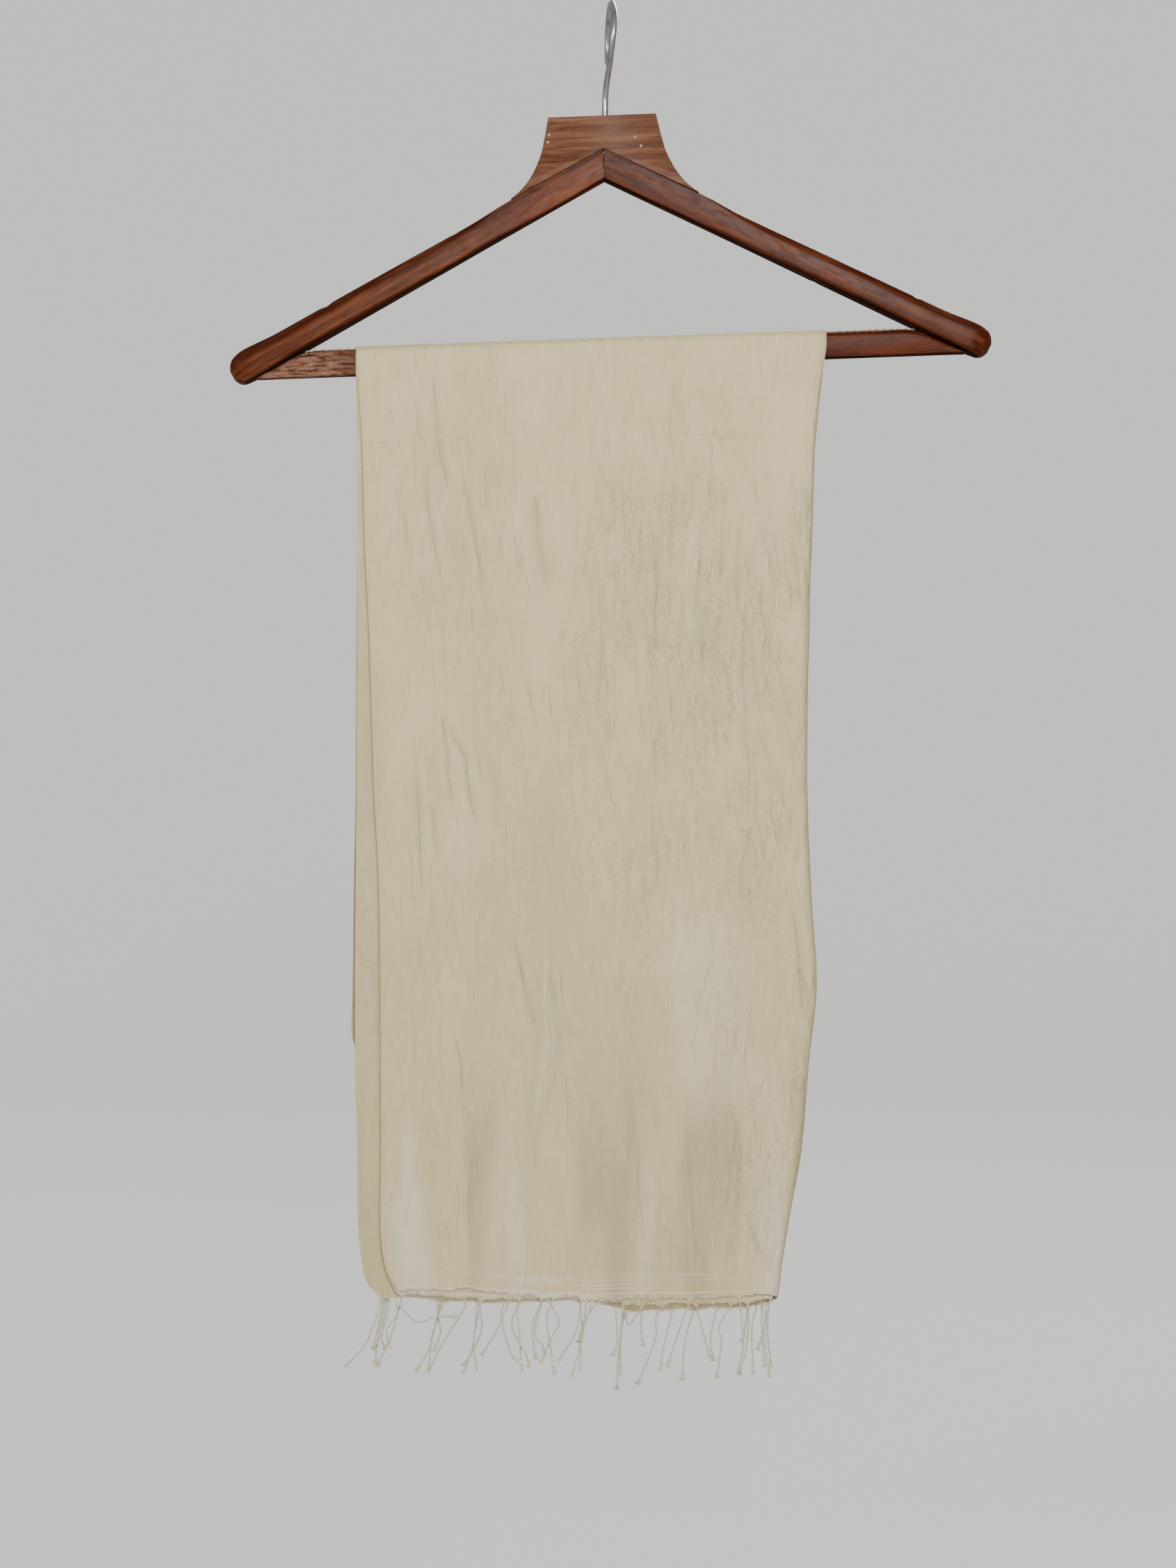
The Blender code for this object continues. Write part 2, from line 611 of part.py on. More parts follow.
def scarf_outer_half(material):
    """The half of the cloth that shows: front ply, lengthwise fold at the right and rear ply."""
    rows = drape_rows()
    outside = [outer_row(row, WALL / 2) for row in rows]
    inside = [outer_row(row, -WALL / 2) for row in rows]
    turn_column = len(row_columns(rows[0])[2:]) + FOLD_STEPS // 2 - 1
    return cloth_body("scarf_outer_half", outside, inside, turn_column, material)


def scarf_inner_half(material):
    """The two hidden plies as one wall, with the rounded crosswise fold at the foot of the back."""
    half = WALL / 2
    rows = [(row, half, row_columns(row)[1:-1]) for row in drape_rows()]
    last_row, _, last_columns = rows[-1]
    rows.append((last_row._replace(z=BACK_END_Z - FIT), half, last_columns))
    wide = (from_table(BACK_OUTLINE, "z", "rear_left", BACK_END_Z),
            from_table(BACK_OUTLINE, "z", "right", BACK_END_Z) - half)
    stretched = np.interp(last_columns, (last_columns[0], last_columns[-1]), wide)
    for bead in CROSS_FOLD:
        row = last_row._replace(z=BACK_END_Z - bead.drop * MM)
        rows.append((row, (LAYER + half) * bead.fullness, stretched))
    outside = [[drape_point(row, x, MIDDLE_PLY + h, "middle") for x in xs] for row, h, xs in rows]
    inside = [[drape_point(row, x, MIDDLE_PLY - h, "middle") for x in xs] for row, h, xs in rows]
    return cloth_body("scarf_inner_half", outside, inside, len(outside[0]), material)


def smooth_route(points, steps):
    """Evenly stepped points on a Catmull-Rom curve through a strand's own points."""
    ends = [2 * points[0] - points[1]] + points + [2 * points[-1] - points[-2]]
    route = []
    spans = len(points) - 1
    for k in range(steps + 1):
        place = k / steps * spans
        span = min(int(place), spans - 1)
        t = place - span
        a, b, c, d = ends[span:span + 4]
        route.append(
            0.5 * (2 * b + (c - a) * t + (2 * a - 5 * b + 4 * c - d) * t ** 2 + (3 * b - a - 3 * c + d) * t ** 3)
        )
    return route


def hem_line(edge):
    """The hem of one ply: its columns, how far its middle lies out, and its height."""
    row = drape_rows()[0]
    first = {"front": 2, "middle": 1, "rear": 0}[edge]
    depth = {"front": FRONT_PLY, "middle": MIDDLE_PLY, "rear": REAR_PLY}[edge]
    columns = row_columns(row)
    xs = columns[first:-1] if edge == "middle" else columns[first:]
    return np.array([drape_point(row, x, depth, edge) for x in xs]), depth


def fringe(edge, material):
    """A narrow backing strip below one hem, with its strands drawn out of its underside."""
    line, depth = hem_line(edge)
    strands = sorted((s for s in STRANDS if s.edge == edge), key=lambda s: s.root_x)
    roots = [strand.root_x * MM for strand in strands]
    corners = [float(x) for x in line[:, 0]]
    stations = [x for x in corners if min(abs(x - root) for root in roots) > ROOT_CLEARANCE]
    for root in roots:
        stations += [root - ROOT_HALF, root + ROOT_HALF]
    stations.sort()

    def hem_y(x):
        return float(np.interp(x, line[:, 0], line[:, 1]))

    def strip_top(x):
        return float(np.interp(x, line[:, 0], line[:, 2])) - FIT

    points = []
    for x in stations:
        y = hem_y(x)
        z = strip_top(x)
        points += [(x, y - WALL / 2, z), (x, y + WALL / 2, z)]
        points += [(x, y + WALL / 2, z - STRIP_HEIGHT), (x, y - WALL / 2, z - STRIP_HEIGHT)]
    faces = [[0, 1, 2, 3], [len(points) - 1 - k for k in range(4)]]
    rooted = {stations.index(s.root_x * MM - ROOT_HALF): s for s in strands}
    for k in range(len(stations) - 1):
        a = 4 * k
        b = a + 4
        faces += [[a, b, b + 1, a + 1], [a + 1, b + 1, b + 2, a + 2], [a + 3, b + 3, b, a]]
        if k not in rooted:
            faces.append([a + 2, b + 2, b + 3, a + 3])
            continue
        strand = rooted[k]
        root_z = strip_top(strand.root_x * MM) - STRIP_HEIGHT
        course = [np.array((strand.root_x * MM, root_z))]
        course += [np.array((x * MM, root_z - drop * MM)) for x, drop in strand.course]
        route = smooth_route(course, STRAND_STEPS + len(strand.course))
        ring = [a + 3, b + 3, b + 2, a + 2]
        for before, here, after in zip(route, route[1:], route[2:] + [2 * route[-1] - route[-2]]):
            tangent = (after - before) / np.linalg.norm(after - before)
            side = np.array((-tangent[1], tangent[0])) * STRAND_HALF
            settled = ease((root_z - here[1]) / LANE_DROP)
            lane = depth + (strand.lane * MM - depth) * settled
            y = hem_y(here[0]) + depth - lane
            start = len(points)
            for across, deep in ((-1, -1), (1, -1), (1, 1), (-1, 1)):
                x, z = here + side * across
                points.append((float(x), y + deep * STRAND_HALF, float(z)))
            new_ring = [start, start + 1, start + 2, start + 3]
            for c in range(4):
                after_c = (c + 1) % 4
                faces.append([ring[c], ring[after_c], new_ring[after_c], new_ring[c]])
            ring = new_ring
        faces.append(ring)
    return add_object("fringe_" + edge, points, faces, material)


def main():
    clear_scene()
    wood = plain_material("lacquered_wood", (0.19, 0.055, 0.025), 0.35)
    pale_wood = plain_material("block_wood", (0.25, 0.1, 0.055), 0.45)
    steel = plain_material("hook_steel", (0.72, 0.74, 0.76), 0.25, 1.0)
    rubber = plain_material("grip_strip", (0.62, 0.58, 0.48), 0.6)
    silk = plain_material("ivory_silk", (0.66, 0.6, 0.47), 0.6)
    cord = plain_material("silk_fringe", (0.62, 0.55, 0.42), 0.65)

    frame = bpy.data.objects.new("hanger_frame", None)
    frame.rotation_euler.y = -TILT
    bpy.context.scene.collection.objects.link(frame)
    hanger_arm("hanger_arm_left", -1, wood, frame)
    hanger_arm("hanger_arm_right", 1, wood, frame)
    shank_hole(hanger_block(pale_wood, frame))
    hanger_bar(wood, frame)
    grip_strip(rubber, frame)
    hanger_hook(steel)

    scarf_outer_half(silk)
    scarf_inner_half(silk)
    for edge in ("front", "middle", "rear"):
        fringe(edge, cord)


main()
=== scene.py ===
"""Ivory silk scarf, folded in four over the trouser bar of a wooden hanger.

Metres, +Z up, front towards -Y, origin at the inside top of the hook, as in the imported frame.
"""
import math
import random
from collections import namedtuple

import bmesh
import bpy
import numpy as np
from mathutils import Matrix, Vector


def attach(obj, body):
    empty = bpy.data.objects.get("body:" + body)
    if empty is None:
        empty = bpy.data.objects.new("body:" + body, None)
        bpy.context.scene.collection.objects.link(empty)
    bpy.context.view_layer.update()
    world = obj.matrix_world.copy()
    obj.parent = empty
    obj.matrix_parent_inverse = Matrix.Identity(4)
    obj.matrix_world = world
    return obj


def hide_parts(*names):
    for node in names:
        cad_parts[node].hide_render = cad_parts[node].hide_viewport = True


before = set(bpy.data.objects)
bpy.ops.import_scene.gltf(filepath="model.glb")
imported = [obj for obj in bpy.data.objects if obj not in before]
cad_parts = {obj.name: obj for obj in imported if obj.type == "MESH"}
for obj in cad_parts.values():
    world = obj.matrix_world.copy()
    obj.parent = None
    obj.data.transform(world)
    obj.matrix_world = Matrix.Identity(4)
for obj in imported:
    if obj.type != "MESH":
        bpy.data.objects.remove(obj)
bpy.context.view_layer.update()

MM = 0.001
PHOTO_WIDTH, PHOTO_HEIGHT = 1659, 2212


# Small helpers

def clamp(values, low=0.0, high=1.0):
    return np.minimum(np.maximum(values, low), high)


def ease(values):
    held = clamp(np.asarray(values, float))
    return held * held * (3.0 - 2.0 * held)


def blend_between(low, high, share):
    return low + (high - low) * share


def through(values, places, heights):
    """A smooth curve through the given heights, with no overshoot between them."""
    order = np.argsort(places)
    xs = np.asarray(places, float)[order]
    ys = np.asarray(heights, float)[order]
    steps = np.diff(xs)
    slopes = np.diff(ys) / steps
    tangents = np.zeros(len(xs))
    for k in range(1, len(xs) - 1):
        if slopes[k - 1] * slopes[k] > 0.0:
            tangents[k] = 2.0 / (1.0 / slopes[k - 1] + 1.0 / slopes[k])
    tangents[0] = slopes[0]
    tangents[-1] = slopes[-1]
    held = clamp(np.asarray(values, float), xs[0], xs[-1])
    cell = np.minimum(np.searchsorted(xs, held, side="right") - 1, len(steps) - 1)
    t = (held - xs[cell]) / steps[cell]
    return (
        (1 + 2 * t) * (1 - t) ** 2 * ys[cell]
        + t * (1 - t) ** 2 * steps[cell] * tangents[cell]
        + t * t * (3 - 2 * t) * ys[cell + 1]
        - t * t * (1 - t) * steps[cell] * tangents[cell + 1]
    )


def from_table(rows, key, column, values):
    places = [getattr(row, key) * MM for row in rows]
    heights = [getattr(row, column) * MM for row in rows]
    return through(values, places, heights)


# Hanger sizes, in its own tilted frame

TILT = math.radians(2.1)
JOINT_X = -7.7 * MM
ARM_SLOPE = math.radians(27.5)
ARM_APEX_Z = -83.5 * MM
ARM_HEIGHT = 16.3 * MM
ARM_AXIS_Z = ARM_APEX_Z - ARM_HEIGHT / 2 / math.cos(ARM_SLOPE)
BAR_TOP_Z = -196.0 * MM
BAR_HALF_DEPTH = 4.5 * MM
BLOCK_HALF_DEPTH = 6.3 * MM
FIT = 0.3 * MM

Station = namedtuple("Station", "along top bottom half_depth top_round bottom_round")
ARM_STATIONS = (
    Station(0.0, 8.15, 8.15, 6.3, 0.6, 1.2),
    Station(60.0, 8.1, 8.15, 6.5, 0.6, 1.5),
    Station(85.0, 7.4, 8.15, 6.9, 3.0, 2.0),
    Station(110.0, 7.8, 8.15, 7.6, 5.0, 2.0),
    Station(170.0, 8.15, 8.15, 9.0, 5.5, 2.5),
    Station(215.0, 8.3, 8.15, 9.8, 6.0, 2.5),
    Station(238.0, 9.6, 8.15, 9.8, 6.0, 2.5),
    Station(245.0, 8.2, 7.9, 8.6, 5.0, 3.0),
    Station(248.6, 5.6, 6.6, 6.0, 3.5, 3.0),
    Station(250.4, 2.5, 3.5, 3.0, 1.5, 1.5),
)

BlockEdge = namedtuple("BlockEdge", "x z")
BLOCK_SIDE = (
    BlockEdge(31.5, -64.7),
    BlockEdge(34.0, -76.0),
    BlockEdge(36.0, -84.5),
    BlockEdge(39.5, -93.0),
    BlockEdge(43.5, -100.0),
    BlockEdge(49.0, -106.6),
    BlockEdge(55.0, -111.4),
)

BarEnd = namedtuple("BarEnd", "x top bottom")
BAR_END = (
    BarEnd(172.0, 0.0, 15.0),
    BarEnd(180.0, 0.8, 15.0),
    BarEnd(186.0, 3.1, 15.0),
    BarEnd(207.5, 14.4, 15.0),
)
GRIP_HALF_LENGTH = 178.0 * MM
GRIP_HALF_WIDTH = 1.5 * MM
GRIP_BASE = 0.3 * MM
GRIP_RIB = 0.5 * MM
GRIP_PITCH = 4.3 * MM

HOOK_WIRE = 1.8 * MM
HOOK_BEND = 21.8 * MM
HOOK_CENTRE_Z = -20.0 * MM
HOOK_TURN = math.radians(5.0)
HOOK_SHANK_X = -3.5 * MM
HOOK_FOOT_Z = -80.0 * MM
HOOK_ARC_START = math.radians(52.0)
HOOK_ARC_END = math.radians(297.0)
Waypoint = namedtuple("Waypoint", "x y z")
HOOK_NECK = (
    Waypoint(-3.5, 0.0, -66.0),
    Waypoint(-3.4, 0.0, -53.0),
    Waypoint(-2.9, -2.6, -47.5),
    Waypoint(-1.8, -8.0, -41.2),
)
HOOK_NECK_X = -0.3 * MM


# Scarf sizes. Its four plies lie at these depths outwards from the face on the bar

REAR_PLY = 0.55 * MM
BACK_MIDDLE_PLY = 1.5 * MM
FRONT_MIDDLE_PLY = 2.15 * MM
FRONT_PLY = 3.35 * MM
CLOTH_HALF = 0.15 * MM
PRESSED = 0.36
PRESSED_UNTIL_Z = -300.0 * MM
DRAPE_HALF_GAP = 5.0 * MM
BAR_RISE = 3.95 * MM
BEND_START_Z = -199.3 * MM
HEM_Z = -756.0 * MM
HEM_RAMP_Z = -726.0 * MM
BACK_END_Z = -612.4 * MM
BACK_FOLD_ROUND = 0.65 * MM
FOLD_ROLL = 35.0 * MM
LAYER = 1.4 * MM

Outline = namedtuple("Outline", "z rear_left front_left right")
FRONT_OUTLINE = (
    Outline(-205.0, -149.4, -148.6, 126.5),
    Outline(-231.0, -149.0, -146.6, 122.3),
    Outline(-255.0, -148.6, -145.2, 119.8),
    Outline(-307.0, -148.5, -143.9, 118.2),
    Outline(-370.0, -148.5, -141.0, 116.0),
    Outline(-451.0, -148.8, -138.5, 114.9),
    Outline(-525.0, -149.4, -135.2, 117.6),
    Outline(-572.0, -149.7, -134.7, 120.5),
    Outline(-621.0, -149.6, -134.5, 115.8),
    Outline(-666.0, -148.4, -134.2, 112.1),
    Outline(-711.0, -148.0, -134.8, 104.4),
    Outline(-739.0, -145.2, -132.2, 100.0),
    Outline(-750.0, -141.9, -128.0, 98.8),
    Outline(-756.0, -135.4, -124.8, 97.6),
)
BACK_OUTLINE = (
    Outline(-205.0, -149.4, -148.6, 126.2),
    Outline(-300.0, -149.4, -145.4, 118.2),
    Outline(-370.0, -149.8, -144.8, 117.4),
    Outline(-451.0, -150.2, -144.8, 114.0),
    Outline(-520.0, -151.4, -145.6, 113.5),
    Outline(-579.0, -152.3, -146.4, 113.0),
    Outline(-600.0, -153.0, -147.0, 112.5),
    Outline(-607.0, -151.8, -146.0, 112.0),
    Outline(-614.0, -149.0, -144.0, 110.0),
)

Hem = namedtuple("Hem", "x front middle rear")
HEM_DROP = (
    Hem(-136.0, -750.6, -753.0, -754.6),
    Hem(-125.0, -751.3, -753.6, -755.0),
    Hem(-106.9, -750.5, -754.2, -756.8),
    Hem(-96.1, -751.3, -755.4, -758.4),
    Hem(-86.5, -749.7, -755.6, -758.0),
    Hem(-64.5, -752.5, -756.2, -758.6),
    Hem(-50.3, -753.4, -756.2, -758.2),
    Hem(-34.1, -756.0, -756.6, -757.4),
    Hem(-23.7, -754.6, -756.4, -757.2),
    Hem(-15.4, -756.4, -757.2, -758.2),
    Hem(4.0, -756.0, -758.6, -762.0),
    Hem(10.4, -756.0, -760.2, -764.2),
    Hem(24.0, -755.8, -760.4, -763.9),
    Hem(42.0, -755.8, -759.2, -762.4),
    Hem(50.8, -755.6, -759.4, -763.2),
    Hem(62.0, -755.1, -758.8, -761.3),
    Hem(70.3, -754.8, -758.9, -762.6),
    Hem(86.9, -753.8, -757.2, -759.6),
    Hem(97.0, -753.0, -755.6, -757.4),
)

# Fringe: x and drop below the root of each bend and of the tip, and how far out the strand hangs
LANE_DROP = 5.0 * MM
Strand = namedtuple("Strand", "edge lane root_x course")
STRANDS = (
    Strand("rear", 0.55, -134.6, ((-136.9, 11.7), (-143.5, 28.3), (-155.6, 41.6))),
    Strand("rear", -0.9, -133.2, ((-135.6, 14.6), (-139.4, 30.8))),
    Strand("rear", -2.3, -131.8, ((-136.9, 27.8), (-138.1, 39.9))),
    Strand("rear", -3.7, -130.4, ((-134.4, 22.8), (-132.7, 31.2))),
    Strand("rear", 1.95, -129.0, ((-130.6, 11.2), (-135.2, 24.5), (-139.4, 31.2))),
    Strand("rear", 3.05, -126.6, ((-124.8, 10.0), (-131.0, 19.6), (-128.5, 30.4))),
    Strand("rear", 0.55, -122.3, ((-124.8, 11.2), (-129.8, 26.6), (-136.9, 41.2))),
    Strand("middle", 4.3, -121.1, ((-122.7, 7.1), (-112.7, 16.2), (-103.2, 13.3), (-89.9, 12.9))),
    Strand("rear", 0.55, -99.4, ((-103.2, 15.8), (-106.5, 27.8), (-114.0, 41.1))),
    Strand("rear", -0.9, -97.9, ((-104.4, 19.1), (-106.9, 41.6))),
    Strand("rear", -2.3, -100.9, ((-101.5, 8.7), (-99.8, 19.1), (-104.0, 30.3))),
    Strand("middle", 3.05, -85.3, ((-85.7, 6.7), (-96.1, 23.7), (-105.7, 41.6))),
    Strand("rear", 0.55, -78.2, ((-80.3, 24.1), (-86.5, 42.4))),
    Strand("rear", -0.9, -76.8, ((-76.1, 17.4), (-86.1, 37.8))),
    Strand("middle", 1.95, -75.7, ((-79.9, 24.1), (-78.6, 41.6))),
    Strand("front", 4.3, -57.8, ((-66.1, 19.6), (-75.7, 35.4))),
    Strand("rear", 0.55, -62.4, ((-64.1, 9.5), (-58.7, 29.5), (-54.1, 34.9))),
    Strand("front", 6.1, -52.0, ((-57.8, 17.9), (-49.5, 35.0), (-47.8, 42.0))),
    Strand("middle", 1.95, -53.2, ((-54.9, 9.1), (-53.7, 18.7), (-52.0, 42.0))),
    Strand("front", 4.3, -39.9, ((-45.8, 17.1), (-44.1, 35.8))),
    Strand("rear", 0.55, -40.8, ((-44.5, 18.7), (-39.9, 25.8), (-38.3, 32.1))),
    Strand("middle", 1.95, -37.4, ((-30.4, 13.3), (-34.9, 22.9), (-41.2, 37.4))),
    Strand("front", 6.1, -32.9, ((-37.4, 12.5), (-32.9, 44.1))),
    Strand("front", 4.3, -17.0, ((-20.4, 18.7), (-30.8, 36.2))),
    Strand("rear", 0.55, -18.3, ((-17.1, 17.1), (-18.3, 40.8))),
    Strand("front", 6.1, -14.4, ((-17.1, 22.9), (-22.9, 44.9))),
    Strand("front", 7.9, -10.8, ((-14.6, 11.7), (-18.3, 23.3))),
    Strand("middle", 3.05, -7.1, ((-15.4, 10.8), (-19.1, 24.1))),
    Strand("rear", 0.55, 2.5, ((3.7, 20.0), (0.8, 29.2))),
    Strand("middle", 1.95, 7.1, ((4.2, 32.5), (3.3, 50.8))),
    Strand("rear", -0.9, 7.9, ((5.8, 17.1), (5.4, 37.5))),
    Strand("front", 4.3, 24.5, ((19.6, 3.6), (10.4, 15.8), (8.3, 8.3))),
    Strand("rear", 0.55, 18.3, ((17.5, 9.1), (18.7, 21.2))),
    Strand("middle", 1.95, 30.8, ((26.2, 7.6), (26.2, 19.2), (17.5, 41.7), (15.0, 46.7))),
    Strand("rear", 0.55, 36.2, ((31.2, 20.8), (28.7, 36.2))),
    Strand("front", 4.3, 46.6, ((38.7, 21.5), (32.9, 40.2))),
    Strand("rear", 0.55, 48.3, ((43.3, 18.7), (41.6, 41.6))),
    Strand("middle", 1.95, 49.1, ((54.1, 18.4), (57.8, 31.7))),
    Strand("rear", 0.55, 62.0, ((58.2, 18.7), (59.9, 31.6))),
    Strand("middle", 1.95, 71.1, ((62.8, 14.9), (64.5, 22.8), (61.6, 44.0))),
    Strand("front", 4.3, 74.9, ((77.0, 27.0), (74.0, 43.2))),
    Strand("rear", 0.55, 80.3, ((79.5, 22.1), (74.9, 40.4))),
    Strand("middle", 1.95, 79.9, ((77.8, 18.2), (76.1, 23.2))),
    Strand("rear", -0.9, 85.3, ((82.4, 14.5), (83.2, 40.3))),
    Strand("rear", -3.7, 88.4, ((88.6, 21.2), (89.9, 37.8))),
    Strand("rear", -0.9, 92.3, ((91.5, 17.1), (93.6, 38.3))),
    Strand("front", 4.3, 93.4, ((88.6, 22.4), (85.3, 32.8))),
    Strand("rear", 0.55, 90.6, ((89.9, 21.7), (92.8, 43.3))),
)

Fold = namedtuple("Fold", "x_top z_top x_bottom z_bottom half_width height")
FRONT_FOLDS = (
    Fold(-112.0, -215.0, -86.0, -380.0, 22.0, -1.6),
    Fold(-135.0, -230.0, -125.0, -560.0, 18.0, 1.2),
    Fold(-40.0, -430.0, -20.0, -690.0, 30.0, -3.0),
    Fold(12.0, -560.0, 20.0, -860.0, 34.0, -2.6),
    Fold(55.0, -500.0, 62.0, -690.0, 45.0, 4.2),
    Fold(-85.0, -400.0, -100.0, -700.0, 28.0, 1.8),
    Fold(85.0, -250.0, 80.0, -480.0, 30.0, 1.6),
    Fold(-60.0, -600.0, -75.0, -860.0, 30.0, 2.2),
)
BACK_FOLDS = (
    Fold(-70.0, -250.0, -60.0, -700.0, 40.0, -2.4),
    Fold(30.0, -230.0, 45.0, -700.0, 45.0, 2.6),
    Fold(90.0, -330.0, 80.0, -640.0, 30.0, -1.6),
)

Lean = namedtuple("Lean", "z front back roll_out roll_in")
HANG_LEAN = (
    Lean(-205.0, 0.0, 0.0, 0.0, 0.0),
    Lean(-300.0, 0.8, 0.3, 2.2, 1.4),
    Lean(-450.0, 1.5, 0.8, 3.0, 2.0),
    Lean(-600.0, 1.8, 1.0, 3.2, 2.0),
    Lean(-756.0, 1.2, 1.0, 1.4, 0.8),
)

# Creases pressed into the plies: a line of points, how deep and how wide its trough is
Crease = namedtuple("Crease", "depth half_width line")
FRONT_CREASES = (
    Crease(0.75, 2.2, ((-106, -206), (-104, -219), (-102, -252), (-98, -272), (-95, -289))),
    Crease(0.8, 2.4, ((-89, -263), (-84, -285), (-80, -311), (-76, -335), (-76, -356))),
    Crease(0.7, 2.2, ((-108, -264), (-107, -289), (-103, -319), (-99, -339))),
    Crease(0.55, 2.0, ((-126, -285), (-120, -301), (-119, -319))),
    Crease(0.5, 2.4, ((-57, -305), (-54, -334))),
    Crease(0.8, 5.5, ((-45, -276), (-42, -313), (-35, -348))),
    Crease(0.4, 1.6, ((-114, -202), (-114, -214))),
    Crease(0.4, 1.6, ((-114, -226), (-112, -245))),
    Crease(0.4, 1.8, ((-131, -332), (-128, -337), (-124, -342))),
    Crease(0.8, 2.2, ((-100, -405), (-97, -427), (-95, -451), (-91, -476))),
    Crease(0.75, 2.2, ((-98, -412), (-94, -422), (-84, -439), (-82, -463), (-76, -486))),
    Crease(0.5, 1.8, ((-79, -380), (-76, -397))),
    Crease(0.55, 2.2, ((-51, -392), (-42, -430))),
    Crease(0.6, 2.0, ((-106, -462), (-101, -502))),
    Crease(0.7, 2.4, ((-114, -435), (-112, -488), (-111, -530))),
    Crease(0.45, 1.8, ((-129, -522), (-121, -540))),
    Crease(0.5, 2.0, ((-111, -540), (-112, -564))),
    Crease(0.4, 1.6, ((-92, -530), (-92, -546))),
    Crease(0.65, 2.0, ((-94, -597), (-89, -619), (-87, -640))),
    Crease(0.45, 1.8, ((-115, -598), (-114, -625))),
    Crease(0.7, 2.6, ((-56, -541), (-50, -577), (-43, -606))),
    Crease(-0.9, 3.0, ((-40, -530), (-37, -563), (-37, -587), (-35, -603), (-38, -624), (-42, -645), (-45, -668))),
    Crease(0.45, 1.8, ((-27, -618), (-25, -668))),
    Crease(0.35, 1.8, ((-148, -253), (-134, -252), (-118, -253))),
    Crease(0.35, 2.0, ((33, -252), (57, -254), (82, -257), (106, -258))),
    Crease(0.6, 3.2, ((76, -706), (87, -728), (97, -750))),
    Crease(0.7, 3.0, ((105, -520), (109, -562), (111, -603))),
    Crease(0.5, 3.5, ((22, -290), (26, -340), (24, -390), (28, -430))),
    Crease(0.45, 3.0, ((52, -300), (50, -350), (55, -410))),
    Crease(0.45, 3.2, ((78, -330), (76, -390), (80, -450), (78, -500))),
    Crease(0.4, 3.0, ((-8, -330), (-6, -380), (-10, -440))),
    Crease(0.5, 5.0, ((8, -620), (14, -670), (20, -735))),
    Crease(0.5, 4.5, ((44, -650), (46, -700), (50, -752))),
    Crease(0.45, 4.0, ((-80, -650), (-84, -700), (-82, -750))),
)
BACK_CREASES = (
    Crease(0.7, 2.4, ((-92, -212), (-88, -240), (-84, -280), (-86, -318))),
    Crease(0.6, 2.2, ((-60, -250), (-56, -290), (-52, -322))),
    Crease(0.65, 3.0, ((10, -220), (14, -262), (12, -300), (16, -352))),
    Crease(0.55, 2.4, ((62, -236), (66, -280), (64, -312))),
    Crease(0.7, 2.6, ((-104, -380), (-100, -420), (-98, -466), (-92, -500))),
    Crease(0.6, 2.2, ((-96, -398), (-84, -430), (-80, -470))),
    Crease(0.6, 3.2, ((-20, -400), (-14, -450), (-16, -498), (-10, -540))),
    Crease(-0.8, 3.4, ((44, -380), (48, -430), (46, -480), (50, -540))),
    Crease(0.5, 2.2, ((84, -420), (86, -460), (83, -500))),
    Crease(0.5, 2.2, ((-56, -520), (-52, -560), (-54, -598))),
    Crease(0.5, 2.6, ((24, -540), (28, -580), (26, -606))),
    Crease(0.35, 2.0, ((-130, -430), (-70, -432), (-20, -430))),
    Crease(0.35, 2.0, ((30, -404), (70, -406), (104, -404))),
)


def fold_height(folds, x, z):
    """How far the soft folds of a hang push it outwards, in metres."""
    height = np.zeros_like(x)
    for fold in folds:
        down = (fold.z_top * MM - z) / ((fold.z_top - fold.z_bottom) * MM)
        centre = (fold.x_top + (fold.x_bottom - fold.x_top) * down) * MM
        across = clamp(np.abs(x - centre) / (fold.half_width * MM))
        fade = ease(down / 0.35) * ease((1.0 - down) / 0.35)
        height += fold.height * MM * fade * (0.5 + 0.5 * np.cos(np.pi * across))
    return height


def crease_height(creases, x, z):
    """Troughs with slightly raised lips along drawn lines, fading at their ends."""
    height = np.zeros_like(x)
    for crease in creases:
        points = np.array(crease.line, float) * MM
        lengths = np.linalg.norm(np.diff(points, axis=0), axis=1)
        whole = lengths.sum()
        start = 0.0
        nearest = np.full(x.shape, 1.0)
        place = np.zeros_like(x)
        for k, length in enumerate(lengths):
            way = (points[k + 1] - points[k]) / length
            along = (x - points[k][0]) * way[0] + (z - points[k][1]) * way[1]
            held = clamp(along, 0.0, length)
            gap = np.hypot(x - points[k][0] - way[0] * held, z - points[k][1] - way[1] * held)
            closer = gap < nearest
            nearest = np.where(closer, gap, nearest)
            place = np.where(closer, (start + held) / whole, place)
            start += length
        fade = ease(place / 0.3) * ease((1.0 - place) / 0.3)
        width = crease.half_width * MM * (0.6 + 0.2 * fade)
        trough = np.exp(-(nearest / width) ** 1.4)
        lips = np.exp(-((nearest - 2.2 * width) / (1.1 * width)) ** 2)
        height -= 0.95 * crease.depth * MM * fade * (trough - 0.42 * lips)
    return height


